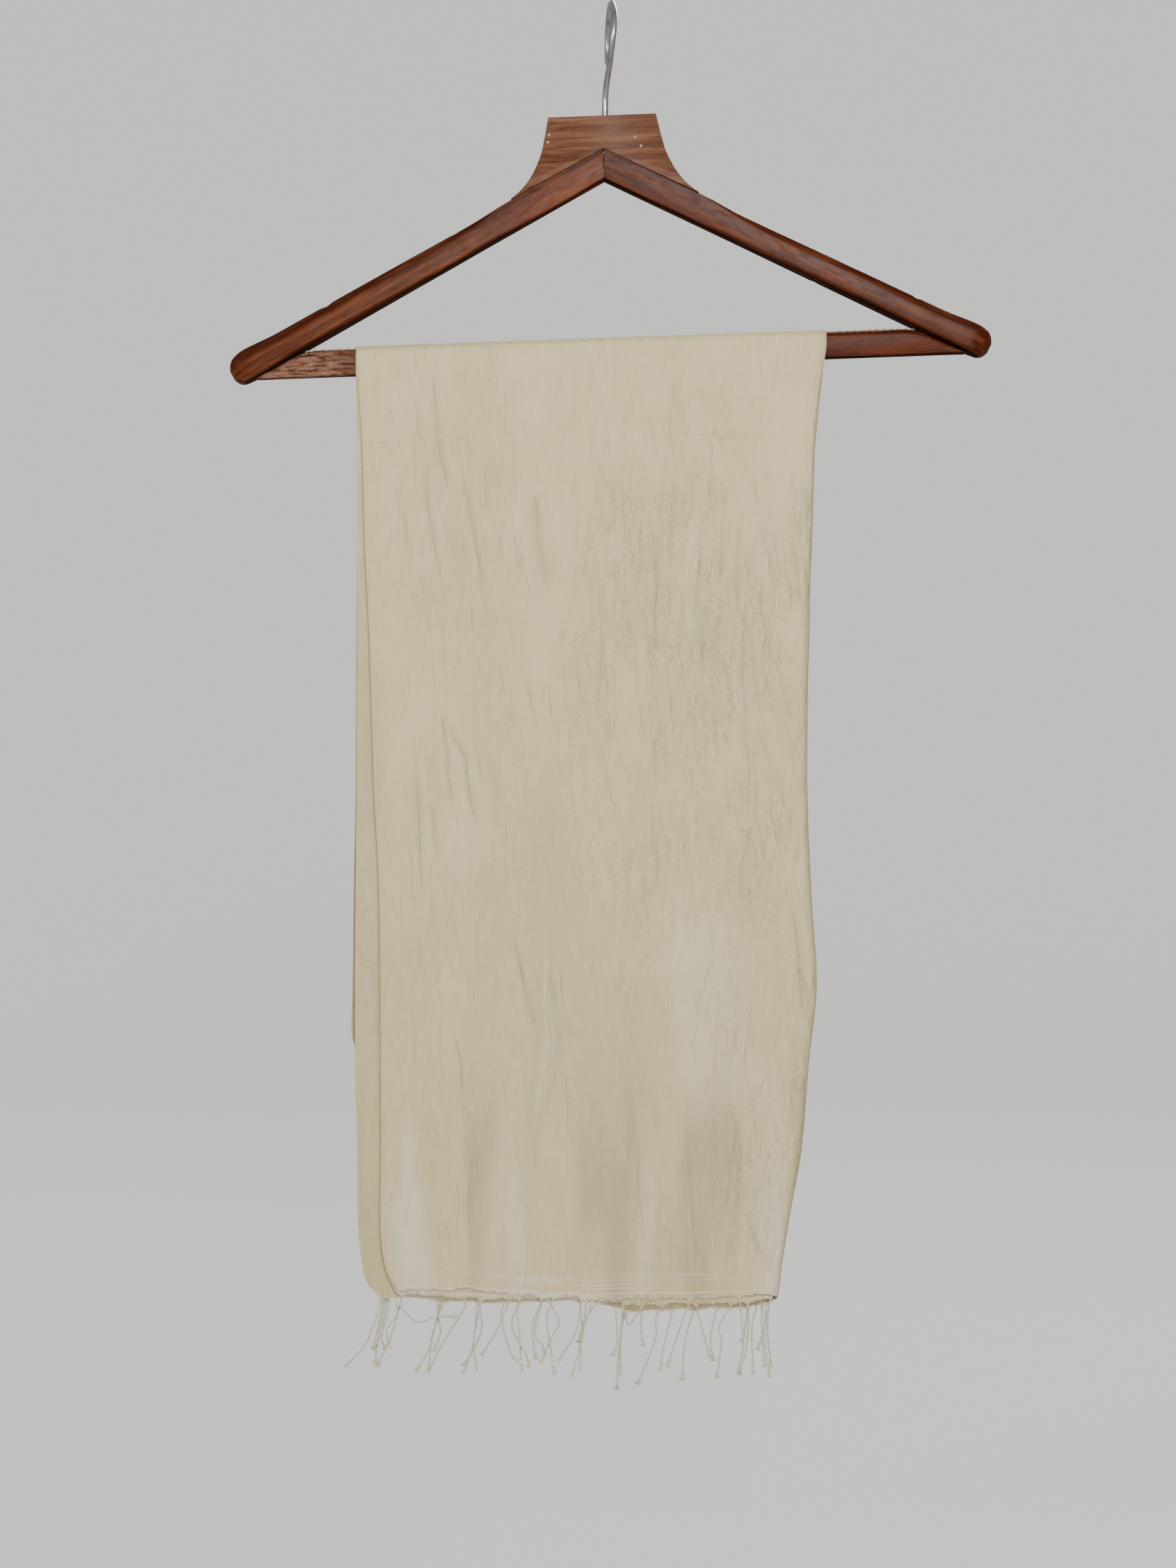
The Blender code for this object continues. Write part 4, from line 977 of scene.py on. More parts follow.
def silk_finish(name):
    """Crepe silk: a fine weave with slubs, patches of crinkle, a yellower selvage and drawn threads at the hem,
    with painted shade and painted highlight on its folds, creases, crinkles and edges.
    """
    silk = Finish(name, Sheen_Weight=0.12, Sheen_Roughness=0.4, Specular_IOR_Level=0.35)
    silk.shader.inputs["Sheen Tint"].default_value = (1.0, 0.97, 0.9, 1.0)
    flat = silk.flat()
    place = silk.place()
    side_x = silk.part_of(place, "X")
    height = silk.part_of(place, "Z")

    def field(name):
        return silk.node("ShaderNodeAttribute", {"attribute_name": name}, output=2)

    slubs = silk.noise(silk.moved(flat, scale=(1100.0, 40.0, 1.0)), 1.0, 2.0, 0.6)
    warp = silk.noise(silk.moved(flat, scale=(1500.0, 90.0, 1.0)), 1.0, 1.0, 0.5)
    weft = silk.noise(silk.moved(flat, scale=(70.0, 1300.0, 1.0)), 1.0, 1.0, 0.5)
    cloudy = silk.noise(silk.moved(place, scale=(1.0, 1.0, 0.5)), 34.0, 2.0, 0.6)
    tone = (slubs - 0.5) * 0.34 + (warp - 0.5) * 0.2 + (weft - 0.5) * 0.2 + (cloudy - 0.5) * 0.36 + 0.5
    colour = silk.mix(silk.step(tone, 0.25, 0.75), IVORY_DEEP, IVORY)
    swell = field("swell")
    # Painted shade in the hollows of the broad folds and painted highlight on their crests.
    colour = silk.mix(silk.step(swell, 0.3, -2.6) * 0.3, colour, from_screen(200, 184, 142))
    colour = silk.mix(silk.step(swell, 0.6, 3.6) * 0.4, colour, from_screen(240, 230, 204))

    patchy = silk.noise(silk.moved(flat, (0.4, 0.1, 0.0), scale=(24.0, 13.0, 1.0)), 1.0, 2.0, 0.6)
    crepe_zone = silk.maximum(
        side_x.above(-0.012, 0.02) * height.above(-0.53, 0.03) * height.below(-0.275, 0.015),
        side_x.above(0.05, 0.02) * height.below(-0.57, 0.03) * 0.8,
    )
    amount = patchy.above(0.43, 0.12) * (0.4 + crepe_zone * 0.6)
    long_swells = silk.noise(silk.moved(flat, scale=(75.0, 14.0, 1.0)), 1.0, 2.0, 0.6, 0.8) - 0.5
    crinkles = silk.noise(silk.moved(flat, (0.2, 0.7, 0.0), scale=(240.0, 70.0, 1.0)), 1.0, 3.0, 0.7, 0.9) - 0.5
    ground = long_swells * 2.4 * (0.4 + amount * 0.6) + crinkles * 2.6 * amount
    # Painted shade and painted highlight that follow the crinkle relief.
    colour = silk.mix(silk.step(crinkles, -0.02, -0.2) * amount * 0.5, colour, from_screen(186, 166, 122))
    colour = silk.mix(silk.step(crinkles, 0.03, 0.22) * amount * 0.4, colour, from_screen(246, 238, 212))

    beside = field("crease_beside")
    uneven = silk.noise(place, 75.0, 2.0, 0.5)
    firm = field("crease_firm") * (0.45 + silk.step(uneven, 0.38, 0.6) * 0.55)
    sheen = silk.noise(silk.moved(place, (0.3, 0.0, 0.2), scale=(34.0, 1.0, 4.0)), 1.0, 1.0, 0.5)
    low_band = height.below(-0.64, 0.05)
    # Painted sheen in the lower part of the cloth: darker and lighter bands, painted shade and painted highlight.
    colour = silk.mix(silk.step(sheen, 0.5, 0.36) * low_band * 0.5, colour, from_screen(186, 172, 138))
    colour = silk.mix(silk.step(sheen, 0.54, 0.68) * low_band * 0.45, colour, from_screen(248, 241, 222))
    # Painted shade along each crease line and a painted highlight on the raised side beside it.
    crease_line = abs(beside).below(0.28, 0.26) * firm
    lip = abs(beside + 0.95).below(0.5, 0.4) * firm
    colour = silk.mix(crease_line * 0.62, colour, from_screen(140, 120, 82))
    colour = silk.mix(lip * 0.3, colour, from_screen(246, 237, 212))
    ground = ground - abs(beside).below(0.6, 0.6) * firm * 0.4

    pressed = field("pressed")
    # Painted shade in the crease troughs and painted highlight where the creased cloth stands out.
    colour = silk.mix(silk.step(pressed, -0.05, -0.6) * 0.32, colour, from_screen(180, 162, 120))
    colour = silk.mix(silk.step(pressed, 0.06, 0.45) * 0.25, colour, from_screen(245, 236, 214))
    colour = silk.mix(field("selvage") * 0.55, colour, IVORY_WARM)
    # Painted shade on the rear strip beside the front ply and towards the right fold.
    colour = silk.mix(field("shelter") * 0.6, colour, from_screen(150, 130, 98))
    stain = silk.spot(place, (-0.074, -0.0125, -0.581), 0.0016, 0.0012)
    colour = silk.mix(stain * 0.45, colour, from_screen(150, 128, 96))
    drawn = silk.noise(silk.moved(flat, scale=(9.0, 620.0, 1.0)), 1.0, 1.0, 0.4)
    hem_band = height.below(-0.741, 0.004) * drawn.above(0.6, 0.05) * field("shelter").below(0.1, 0.06)
    colour = silk.mix(hem_band * 0.6, colour, from_screen(244, 237, 222))

    threads = silk.bump(slubs * 0.3 + warp * 0.35 + weft * 0.5, 0.4, 0.00028)
    soft = silk.bump(ground, 0.85, 0.001, threads)
    roughness = 0.5 + (slubs - 0.5) * 0.2 + (weft - 0.5) * 0.12
    return silk.wear(Base_Color=colour, Roughness=roughness, Normal=soft)


def cord_finish():
    """Twisted silk threads with a speckled, uneven tone."""
    cord = Finish("twisted_silk", Sheen_Weight=0.3, Sheen_Roughness=0.5, Roughness=0.6)
    place = cord.place()
    tone = cord.noise(place, 900.0, 3.0, 0.6)
    colour = cord.mix(cord.step(tone, 0.3, 0.7), from_screen(214, 201, 170), from_screen(244, 235, 211))
    threads = cord.bump(cord.noise(cord.moved(place, scale=(1.0, 1.0, 0.25)), 5200.0, 2.0, 0.5), 0.3, 0.0001)
    return cord.wear(Base_Color=colour, Normal=threads)


# A paler streaky patch with less gloss, from start to end along x, in the given colour.
PaleStreaks = namedtuple("PaleStreaks", "start end colour")
# Painted shade on wood: the given colour along the rounded top edge above level, softened by soft, and a dark, less
# glossy underside from drop below level.
PaintedEdgeShade = namedtuple("PaintedEdgeShade", "level soft drop colour")


def wood_finish(name, tones, gloss, grain_turn, pale_streaks=None, knot=None, specks=(), upper=None, seam_x=None):
    """Lacquered wood: long grain, pores, painted shade along the rounded top edge and underside, painted highlights
    in lighter patches, scratches and a thin gloss coat.
    """
    dark, mid, light = tones
    wood = Finish(name, Coat_Roughness=0.3, Coat_IOR=1.3, Specular_IOR_Level=0.06)
    place = wood.place()
    grain = wood.moved(place, turn=(0.0, grain_turn, 0.0))
    wide = wood.noise(wood.moved(grain, scale=(9.0, 110.0, 110.0)), 1.0, 4.0, 0.6, 0.9)
    lines = wood.noise(wood.moved(grain, scale=(26.0, 700.0, 700.0)), 1.0, 3.0, 0.65, 0.3)
    pores = wood.noise(wood.moved(grain, scale=(130.0, 2600.0, 2600.0)), 1.0, 2.0, 0.5)
    tone = wide * 0.55 + lines * 0.45
    colour = wood.node("ShaderNodeValToRGB", {"stops": (
        (0.32, dark), (0.52, mid), (0.72, light),
    )}, {0: tone})
    colour = wood.mix(pores.below(0.38, 0.05) * 0.6, colour, tuple(part * 0.4 for part in dark))
    gloss_level = gloss
    dull_and_shaded_underside = 0.0
    if upper is not None:
        # Painted shade: darker along the rounded top edge, and darker and less glossy on the underside.
        height = wood.part_of(grain, "Z")
        edge = (height + (wide - 0.5) * 0.004).above(upper.level, upper.soft)
        colour = wood.mix(edge * 0.85, colour, upper.colour)
        dull_and_shaded_underside = height.below(upper.level - upper.drop, 0.0003)
        colour = wood.mix(dull_and_shaded_underside * 0.9, colour, tuple(part * 0.25 for part in dark))
        gloss_level = gloss * (1.0 - dull_and_shaded_underside)
    # Paler streaky patch with less gloss.
    if pale_streaks is not None:
        over = wood.part_of(place, "X")
        streaks = wood.noise(wood.moved(grain, scale=(110.0, 620.0, 620.0)), 1.0, 5.0, 0.75)
        patch = wood.step(over, pale_streaks.start, pale_streaks.end) * streaks.above(0.48, 0.1)
        colour = wood.mix(patch * 0.62, colour, pale_streaks.colour)
        gloss_level = gloss_level * (1.0 - patch * 0.7)
    if knot is not None:
        eye = wood.spot(place, knot, 0.0018, 0.0012)
        halo = wood.spot(place, knot, 0.005, 0.004)
        colour = wood.mix(halo * 0.4, colour, dark)
        colour = wood.mix(eye * 0.9, colour, tuple(part * 0.2 for part in dark))
    for speck in specks:
        colour = wood.mix(wood.spot(place, speck, 0.0006, 0.0003) * 0.85, colour, from_screen(228, 214, 196))
    if seam_x is not None:
        upright = wood.part_of(wood.moved(place, turn=(0.0, TILT, 0.0)), "X")
        colour = wood.mix(abs(upright - seam_x).below(0.00042, 0.0002) * 0.9, colour, (0.008, 0.003, 0.002))
    # Painted highlight: lighter patches along the grain, also a little rougher.
    painted_highlight_patches = wood.noise(wood.moved(grain, scale=(20.0, 300.0, 300.0), location=(3.0, 1.0, 2.0)), 1.0, 3.0, 0.6)
    colour = wood.mix(painted_highlight_patches.above(0.56, 0.1) * 0.4, colour, tuple(part * 1.25 for part in light))
    roughness = 0.4 + (lines - 0.5) * 0.22 + painted_highlight_patches.above(0.6, 0.08) * 0.12 + dull_and_shaded_underside * 0.4
    bumps = wood.bump(lines * 0.6 + pores * 0.4, 0.25, 0.00025)
    scuffs = wood.noise(wood.moved(grain, scale=(90.0, 330.0, 330.0)), 1.0, 4.0, 0.75)
    gloss_level = gloss_level * (0.25 + scuffs.below(0.54, 0.08) * 0.75)
    return wood.wear(Base_Color=colour, Roughness=roughness, Coat_Weight=gloss_level, Normal=bumps)


def steel_finish():
    """Plated wire with light draw marks and a little patchy tarnish."""
    steel = Finish("plated_steel", Metallic=1.0)
    place = steel.place()
    marks = steel.noise(steel.moved(place, scale=(900.0, 900.0, 60.0)), 1.0, 3.0, 0.6)
    tarnish = steel.noise(place, 130.0, 3.0, 0.6)
    colour = steel.mix(tarnish.above(0.56, 0.1) * 0.6, from_screen(206, 205, 203), from_screen(150, 143, 134))
    roughness = 0.2 + marks * 0.16 + tarnish.above(0.6, 0.1) * 0.12
    bumps = steel.bump(marks, 0.15, 0.00008)
    return steel.wear(Base_Color=colour, Roughness=roughness, Normal=bumps)


def rubber_finish(name, dark, light):
    """Soft plastic, yellowed a little and dusty."""
    rubber = Finish(name, Specular_IOR_Level=0.4)
    place = rubber.place()
    dust = rubber.noise(place, 420.0, 3.0, 0.6)
    colour = rubber.mix(rubber.step(dust, 0.35, 0.7), dark, light)
    bumps = rubber.bump(dust, 0.2, 0.0001)
    return rubber.wear(Base_Color=colour, Roughness=0.45 + dust * 0.2, Normal=bumps)


# Hanger pieces

def tilted(points):
    """From the hanger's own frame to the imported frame, which it leans in."""
    points = np.asarray(points, float)
    turned = points.copy()
    turned[:, 0] = points[:, 0] * math.cos(TILT) - points[:, 2] * math.sin(TILT)
    turned[:, 2] = points[:, 0] * math.sin(TILT) + points[:, 2] * math.cos(TILT)
    return turned


def ring_loft(name, rings, smooth_angle=50.0, lean=True):
    """A closed body through rings of equal counts, capped at both ends."""
    count = len(rings[0])
    points = np.concatenate([np.asarray(ring, float) for ring in rings])
    if lean:
        points = tilted(points)
    faces = [tuple(range(count)), tuple(len(points) - 1 - k for k in range(count))]
    for level in range(len(rings) - 1):
        start = level * count
        for k in range(count):
            after = (k + 1) % count
            faces.append((start + k, start + after, start + count + after, start + count + k))
    return add_mesh(name, points, faces, smooth_angle=smooth_angle)


def round_section(half_width, top, bottom, top_round, bottom_round, steps=6):
    corners = (
        (half_width, top, top_round, 0),
        (-half_width, top, top_round, 1),
        (-half_width, bottom, bottom_round, 2),
        (half_width, bottom, bottom_round, 3),
    )
    section = []
    for across, up, radius, quarter in corners:
        centre_across = across - math.copysign(radius, across)
        centre_up = up - radius if up == top else up + radius
        for step in range(steps + 1):
            angle = (quarter + step / steps) * math.pi / 2
            section.append((centre_across + radius * math.cos(angle), centre_up + radius * math.sin(angle)))
    return section


Dent = namedtuple("Dent", "along depth half_length")


def hanger_arm(name, side, dents):
    places = np.concatenate([
        np.linspace(0.0, 238.0 * MM, 150), np.linspace(238.6 * MM, 250.4 * MM, 14),
    ])
    table = {key: from_table(ARM_STATIONS, "along", key, places) for key in Station._fields[1:]}
    cos_slope = math.cos(ARM_SLOPE)
    sin_slope = math.sin(ARM_SLOPE)
    rings = []
    for k, along in enumerate(places):
        section = round_section(
            table["half_depth"][k], table["top"][k], -table["bottom"][k],
            table["top_round"][k], table["bottom_round"][k],
        )
        ring = []
        for across, up in section:
            here = along
            if k == 0:
                here = (FIT / 2 - up * sin_slope) / cos_slope
            for dent in dents:
                near = 1.0 - abs(along - dent.along * MM) / (dent.half_length * MM)
                if near > 0.0 and up * dent.depth > 0.0 and abs(up) > 4.0 * MM:
                    up -= dent.depth * MM * float(ease(near)) * (0.5 if across > 0.0 else 1.0)
            x = here * cos_slope + up * sin_slope
            z = ARM_AXIS_Z - here * sin_slope + up * cos_slope
            ring.append((JOINT_X + side * x, across, z))
        rings.append(ring)
    return ring_loft(name, rings, 40.0)


def arm_level(side):
    """Height of an arm's middle line in the grain's turned coordinates."""
    turn = ARM_SLOPE + TILT if side < 0 else TILT - ARM_SLOPE
    x, _, z = tilted([(JOINT_X, 0.0, ARM_AXIS_Z)])[0]
    return float(z * math.cos(turn) - x * math.sin(turn)) + 2.2 * MM


def arm_upper_edge(x):
    return ARM_APEX_Z - abs(x) * math.tan(ARM_SLOPE)


def hanger_block():
    """The block in the fork above the arms, its edges eased and bored for the hook."""
    side = np.array(BLOCK_SIDE, float) * MM
    heights = np.linspace(side[0, 1], side[-1, 1], 26)
    right = [(float(x), float(z)) for x, z in zip(through(heights, side[:, 1], side[:, 0]), heights)]
    lift = FIT / math.cos(ARM_SLOPE)
    toe = (right[-1][0], arm_upper_edge(right[-1][0]) + lift)
    outline = right + [toe, (0.0, ARM_APEX_Z + lift)]
    outline += [(-x, z) for x, z in reversed(right + [toe])]
    centre = np.array((0.0, -88.0 * MM))
    rings = []
    for depth, inset in ((-6.3, 0.55), (-6.12, 0.16), (-5.75, 0.0), (5.75, 0.0), (6.12, 0.16), (6.3, 0.55)):
        ring = []
        for x, z in outline:
            inward = centre - np.array((x, z))
            inward = inward / np.linalg.norm(inward) * inset * MM
            ring.append((JOINT_X + x + inward[0], depth * MM, z + inward[1]))
        rings.append(ring)
    block = ring_loft("block_wood_body", rings, 35.0)
    bpy.ops.mesh.primitive_cylinder_add(
        vertices=32, radius=HOOK_WIRE + FIT, depth=24.0 * MM,
        location=(HOOK_SHANK_X, 0.0, HOOK_FOOT_Z + 11.0 * MM),
    )
    drill = bpy.context.object
    bore = block.modifiers.new("bore", "BOOLEAN")
    bore.object = drill
    bore.operation = "DIFFERENCE"
    bore.solver = "EXACT"
    apply_modifiers(block)
    bpy.data.objects.remove(drill, do_unlink=True)
    return block


def apply_modifiers(item):
    """Turns a piece with its modifiers into a plain mesh."""
    shown = item.evaluated_get(bpy.context.evaluated_depsgraph_get())
    mesh = bpy.data.meshes.new_from_object(shown)
    item.modifiers.clear()
    item.data = mesh


def bar_lowering(x):
    ends = [end.x * MM for end in BAR_END]
    top = np.interp(abs(x), ends, [end.top * MM for end in BAR_END])
    bottom = np.interp(abs(x), ends, [end.bottom * MM for end in BAR_END])
    return float(top), float(bottom)


def hanger_bar():
    rings = []
    reach = BAR_END[-1].x * MM
    places = np.concatenate([
        np.linspace(-reach, -172.0 * MM, 26), np.linspace(-168.0 * MM, 168.0 * MM, 60),
        np.linspace(172.0 * MM, reach, 26),
    ])
    for x in places:
        top, bottom = bar_lowering(x)
        rounding = min(3.0 * MM, (bottom - top) * 0.45)
        section = round_section(
            BAR_HALF_DEPTH, BAR_TOP_Z - top, BAR_TOP_Z - bottom, rounding, rounding / 3, 5,
        )
        rings.append([(JOINT_X + x, across, up) for across, up in section])
    return ring_loft("bar_wood", rings, 40.0)


def rib_tree(material):
    """Geometry nodes: rounded ribs at an even pitch along the strip's line of points."""
    tree = bpy.data.node_groups.new("grip_ribs", "GeometryNodeTree")
    tree.interface.new_socket("Geometry", in_out="INPUT", socket_type="NodeSocketGeometry")
    for name in ("Pitch", "Width", "Length", "Height"):
        tree.interface.new_socket(name, in_out="INPUT", socket_type="NodeSocketFloat")
    tree.interface.new_socket("Geometry", in_out="OUTPUT", socket_type="NodeSocketGeometry")
    start = tree.nodes.new("NodeGroupInput")
    end = tree.nodes.new("NodeGroupOutput")
    points = tree.nodes.new("GeometryNodeCurveToPoints")
    points.mode = "LENGTH"
    rib = tree.nodes.new("GeometryNodeMeshUVSphere")
    rib.inputs["Segments"].default_value = 10
    rib.inputs["Rings"].default_value = 6
    rib.inputs["Radius"].default_value = 0.5
    size = tree.nodes.new("ShaderNodeCombineXYZ")
    place = tree.nodes.new("GeometryNodeInstanceOnPoints")
    real = tree.nodes.new("GeometryNodeRealizeInstances")
    paint = tree.nodes.new("GeometryNodeSetMaterial")
    paint.inputs["Material"].default_value = material
    links = tree.links
    links.new(start.outputs["Geometry"], points.inputs["Curve"])
    links.new(start.outputs["Pitch"], points.inputs["Length"])
    links.new(start.outputs["Width"], size.inputs["X"])
    links.new(start.outputs["Length"], size.inputs["Y"])
    links.new(start.outputs["Height"], size.inputs["Z"])
    links.new(points.outputs["Points"], place.inputs["Points"])
    links.new(rib.outputs["Mesh"], place.inputs["Instance"])
    links.new(size.outputs["Vector"], place.inputs["Scale"])
    links.new(place.outputs["Instances"], real.inputs["Geometry"])
    links.new(real.outputs["Geometry"], paint.inputs["Geometry"])
    links.new(paint.outputs["Geometry"], end.inputs["Geometry"])
    return tree


def poly_curve(name, lines, closed=False):
    """A curve object with one straight-stepped spline for each line of points."""
    curve = bpy.data.curves.new(name, "CURVE")
    curve.dimensions = "3D"
    for line in lines:
        spline = curve.splines.new("POLY")
        spline.points.add(len(line) - 1)
        spline.use_cyclic_u = closed
        for point, place in zip(spline.points, line):
            point.co = (*(float(part) for part in place), 1.0)
    item = bpy.data.objects.new(name, curve)
    bpy.context.scene.collection.objects.link(item)
    return item


def grown(name, source, tree, **sizes):
    """The plain mesh that a geometry nodes tree grows from a curve; the curve is removed."""
    grow = source.modifiers.new(name, "NODES")
    grow.node_group = tree
    for item in tree.interface.items_tree:
        if item.in_out == "INPUT" and item.name in sizes:
            grow[item.identifier] = sizes[item.name]
    bpy.context.view_layer.update()
    shown = source.evaluated_get(bpy.context.evaluated_depsgraph_get())
    mesh = bpy.data.meshes.new_from_object(shown)
    bpy.data.objects.remove(source, do_unlink=True)
    item = bpy.data.objects.new(name, mesh)
    bpy.context.scene.collection.objects.link(item)
    return item


def joined(name, items):
    """Several meshes as one piece."""
    with bpy.context.temp_override(
        active_object=items[0], object=items[0],
        selected_objects=items, selected_editable_objects=items,
    ):
        bpy.ops.object.join()
    items[0].name = name
    items[0].data.name = name
    return items[0]


def grip_strip(material, base_material):
    """The ribbed strip along the bar's top, turned down over its rounded ends."""
    rings = []
    tops = []
    for x in np.linspace(-GRIP_HALF_LENGTH, GRIP_HALF_LENGTH, 150):
        low = BAR_TOP_Z - bar_lowering(x)[0] + 0.05 * MM
        high = low + FIT + GRIP_BASE - 0.05 * MM
        section = round_section(GRIP_HALF_WIDTH, high, low, 0.22 * MM, 0.1 * MM, 3)
        rings.append([(JOINT_X + x, across, up) for across, up in section])
        world_x = JOINT_X + x
        if world_x < -150.0 * MM or world_x > 127.0 * MM:
            tops.append((world_x, 0.0, high))
    base = ring_loft("grip_base", rings, 40.0)
    base.data.materials.append(base_material)
    left = tilted([place for place in tops if place[0] < 0.0])
    right = tilted([place for place in tops if place[0] > 0.0])
    ribs = grown(
        "grip_ribs", poly_curve("grip_line", (left, right)), rib_tree(material),
        Pitch=GRIP_PITCH, Width=2.3 * MM, Length=2 * GRIP_HALF_WIDTH - 0.2 * MM, Height=5.2 * GRIP_RIB,
    )
    ribs.data.shade_smooth()
    return joined("grip_strip_ribbed", [base, ribs])


def hook_route():
    points = [(HOOK_SHANK_X, 0.0, HOOK_FOOT_Z)]
    points += [(place.x * MM, place.y * MM, place.z * MM) for place in HOOK_NECK]
    for k in range(23):
        angle = HOOK_ARC_START + (HOOK_ARC_END - HOOK_ARC_START) * k / 22
        y = -HOOK_BEND * math.sin(angle)
        z = HOOK_CENTRE_Z - HOOK_BEND * math.cos(angle)
        settle = float(ease(k / 5))
        x = -y * math.tan(HOOK_TURN) * settle + HOOK_NECK_X * (1 - settle)
        points.append((x, y, z))
    return points


def smooth_route(points, steps):
    """Evenly stepped points on a Catmull-Rom curve through the given ones."""
    points = [np.asarray(point, float) for point in points]
    ends = [2 * points[0] - points[1]] + points + [2 * points[-1] - points[-2]]
    route = []
    spans = len(points) - 1
    for k in range(steps + 1):
        place = k / steps * spans
        span = min(int(place), spans - 1)
        t = place - span
        a, b, c, d = ends[span:span + 4]
        route.append(
            0.5 * (2 * b + (c - a) * t + (2 * a - 5 * b + 4 * c - d) * t ** 2 + (3 * b - a - 3 * c + d) * t ** 3)
        )
    return route


def tube(name, route, radii, sides):
    """A round body along a route, whose sections turn with it without twisting."""
    route = np.asarray(route, float)
    tangents = np.gradient(route, axis=0)
    tangents /= np.linalg.norm(tangents, axis=1)[:, None]
    side = np.cross(tangents[0], (0.0, 1.0, 0.0) if abs(tangents[0][1]) < 0.9 else (1.0, 0.0, 0.0))
    rings = []
    for point, tangent, radius in zip(route, tangents, radii):
        side = side - tangent * np.dot(side, tangent)
        side /= np.linalg.norm(side)
        other = np.cross(tangent, side)
        rings.append([
            point + radius * (side * math.cos(2 * math.pi * k / sides) + other * math.sin(2 * math.pi * k / sides))
            for k in range(sides)
        ])
    return ring_loft(name, rings, 50.0, lean=False)


def hanger_hook():
    route = np.array(smooth_route(hook_route(), 420))
    lengths = np.concatenate([[0.0], np.cumsum(np.linalg.norm(np.diff(route, axis=0), axis=1))])
    even = np.linspace(0.0, lengths[-1], 200)
    route = np.stack([np.interp(even, lengths, route[:, k]) for k in range(3)], axis=1)
    for _ in range(60):
        route[1:-1] = route[1:-1] * 0.5 + (route[:-2] + route[2:]) * 0.25
    radii = np.full(len(route), HOOK_WIRE)
    radii[-1] *= 0.45
    radii[-2] *= 0.8
    radii[-3] *= 0.95
    return tube("hook_wire", route, radii, 20)


# Fringe pieces

PLY_DEPTH = {"front": FRONT_PLY, "middle": (FRONT_MIDDLE_PLY + BACK_MIDDLE_PLY) / 2, "rear": REAR_PLY}


HEM_X = np.linspace(-160.0 * MM, 130.0 * MM, 600)
HEM_LINES = {}


def hem_place(edge, x):
    """The point on one ply's hem at this x."""
    if edge not in HEM_LINES:
        row = Course(0.0, HEM_Z, 0.0)
        line = cloth_points(FRONT_HANG, row, HEM_X, PLY_DEPTH[edge], edge)
        z = np.full_like(HEM_X, HEM_Z)
        bent = HEM_X + wander(FRONT_HANG, HEM_X, z)
        share = {"front": 1.0, "middle": 0.4, "rear": 0.0}[edge]
        line[:, 1] -= shared_swell(FRONT_HANG, HEM_X, z) + crease_height(FRONT_CREASES, bent, z) * share
        HEM_LINES[edge] = line
    line = HEM_LINES[edge]
    return np.array([x, np.interp(x, HEM_X, line[:, 1]), np.interp(x, HEM_X, line[:, 2])])


def strand_route(strand):
    """A strand from just inside its hem down through its bends, out to its own lane."""
    root = hem_place(strand.edge, strand.root_x * MM)
    root_z = root[2] + 0.6 * MM
    course = [(strand.root_x * MM, root_z)]
    course += [(x * MM, root_z - drop * MM) for x, drop in strand.course]
    route = smooth_route(course, 46)
    depth = PLY_DEPTH[strand.edge]
    line = []
    for x, z in route:
        settled = float(ease((root_z - z) / LANE_DROP))
        lane = (strand.lane * MM - depth) * settled
        line.append((float(x), hem_place(strand.edge, float(x))[1] - lane, float(z)))
    return line


def cord_tree(material):
    """Geometry nodes: a cord of two round plies twisted about each curve."""
    tree = bpy.data.node_groups.new("twisted_cord", "GeometryNodeTree")
    tree.interface.new_socket("Geometry", in_out="INPUT", socket_type="NodeSocketGeometry")
    for name in ("Step", "Thickness", "Twist Pitch"):
        tree.interface.new_socket(name, in_out="INPUT", socket_type="NodeSocketFloat")
    tree.interface.new_socket("Geometry", in_out="OUTPUT", socket_type="NodeSocketGeometry")
    links = tree.links

    def add(kind, **settings):
        node = tree.nodes.new(kind)
        for key, value in settings.items():
            setattr(node, key, value)
        return node

    def times(first, second, operation="MULTIPLY"):
        node = add("ShaderNodeMath", operation=operation)
        for socket, value in zip(node.inputs, (first, second)):
            if hasattr(value, "node"):
                links.new(value, socket)
            else:
                socket.default_value = value
        return node.outputs[0]

    start = add("NodeGroupInput")
    end = add("NodeGroupOutput")
    even = add("GeometryNodeResampleCurve", mode="LENGTH")
    turn = add("GeometryNodeSetCurveTilt")
    along = add("GeometryNodeSplineParameter")
    turns = times(times(along.outputs["Length"], start.outputs["Twist Pitch"], "DIVIDE"), 2 * math.pi)
    links.new(start.outputs["Geometry"], even.inputs["Curve"])
    links.new(start.outputs["Step"], even.inputs["Length"])
    links.new(even.outputs["Curve"], turn.inputs["Curve"])
    links.new(turns, turn.inputs["Tilt"])
    both = add("GeometryNodeJoinGeometry")
    for sign in (-1.0, 1.0):
        ring = add("GeometryNodeCurvePrimitiveCircle")
        ring.inputs["Resolution"].default_value = 7
        links.new(times(start.outputs["Thickness"], 0.29), ring.inputs["Radius"])
        shift = add("GeometryNodeTransform")
        offset = add("ShaderNodeCombineXYZ")
        links.new(times(start.outputs["Thickness"], 0.225 * sign), offset.inputs["X"])
        links.new(ring.outputs["Curve"], shift.inputs["Geometry"])
        links.new(offset.outputs["Vector"], shift.inputs["Translation"])
        links.new(shift.outputs["Geometry"], both.inputs["Geometry"])
    sweep = add("GeometryNodeCurveToMesh")
    sweep.inputs["Fill Caps"].default_value = True
    real = add("GeometryNodeRealizeInstances")
    paint = add("GeometryNodeSetMaterial")
    paint.inputs["Material"].default_value = material
    links.new(turn.outputs["Curve"], sweep.inputs["Curve"])
    links.new(both.outputs["Geometry"], sweep.inputs["Profile Curve"])
    links.new(sweep.outputs["Mesh"], real.inputs["Geometry"])
    links.new(real.outputs["Geometry"], paint.inputs["Geometry"])
    links.new(paint.outputs["Geometry"], end.inputs["Geometry"])
    return tree


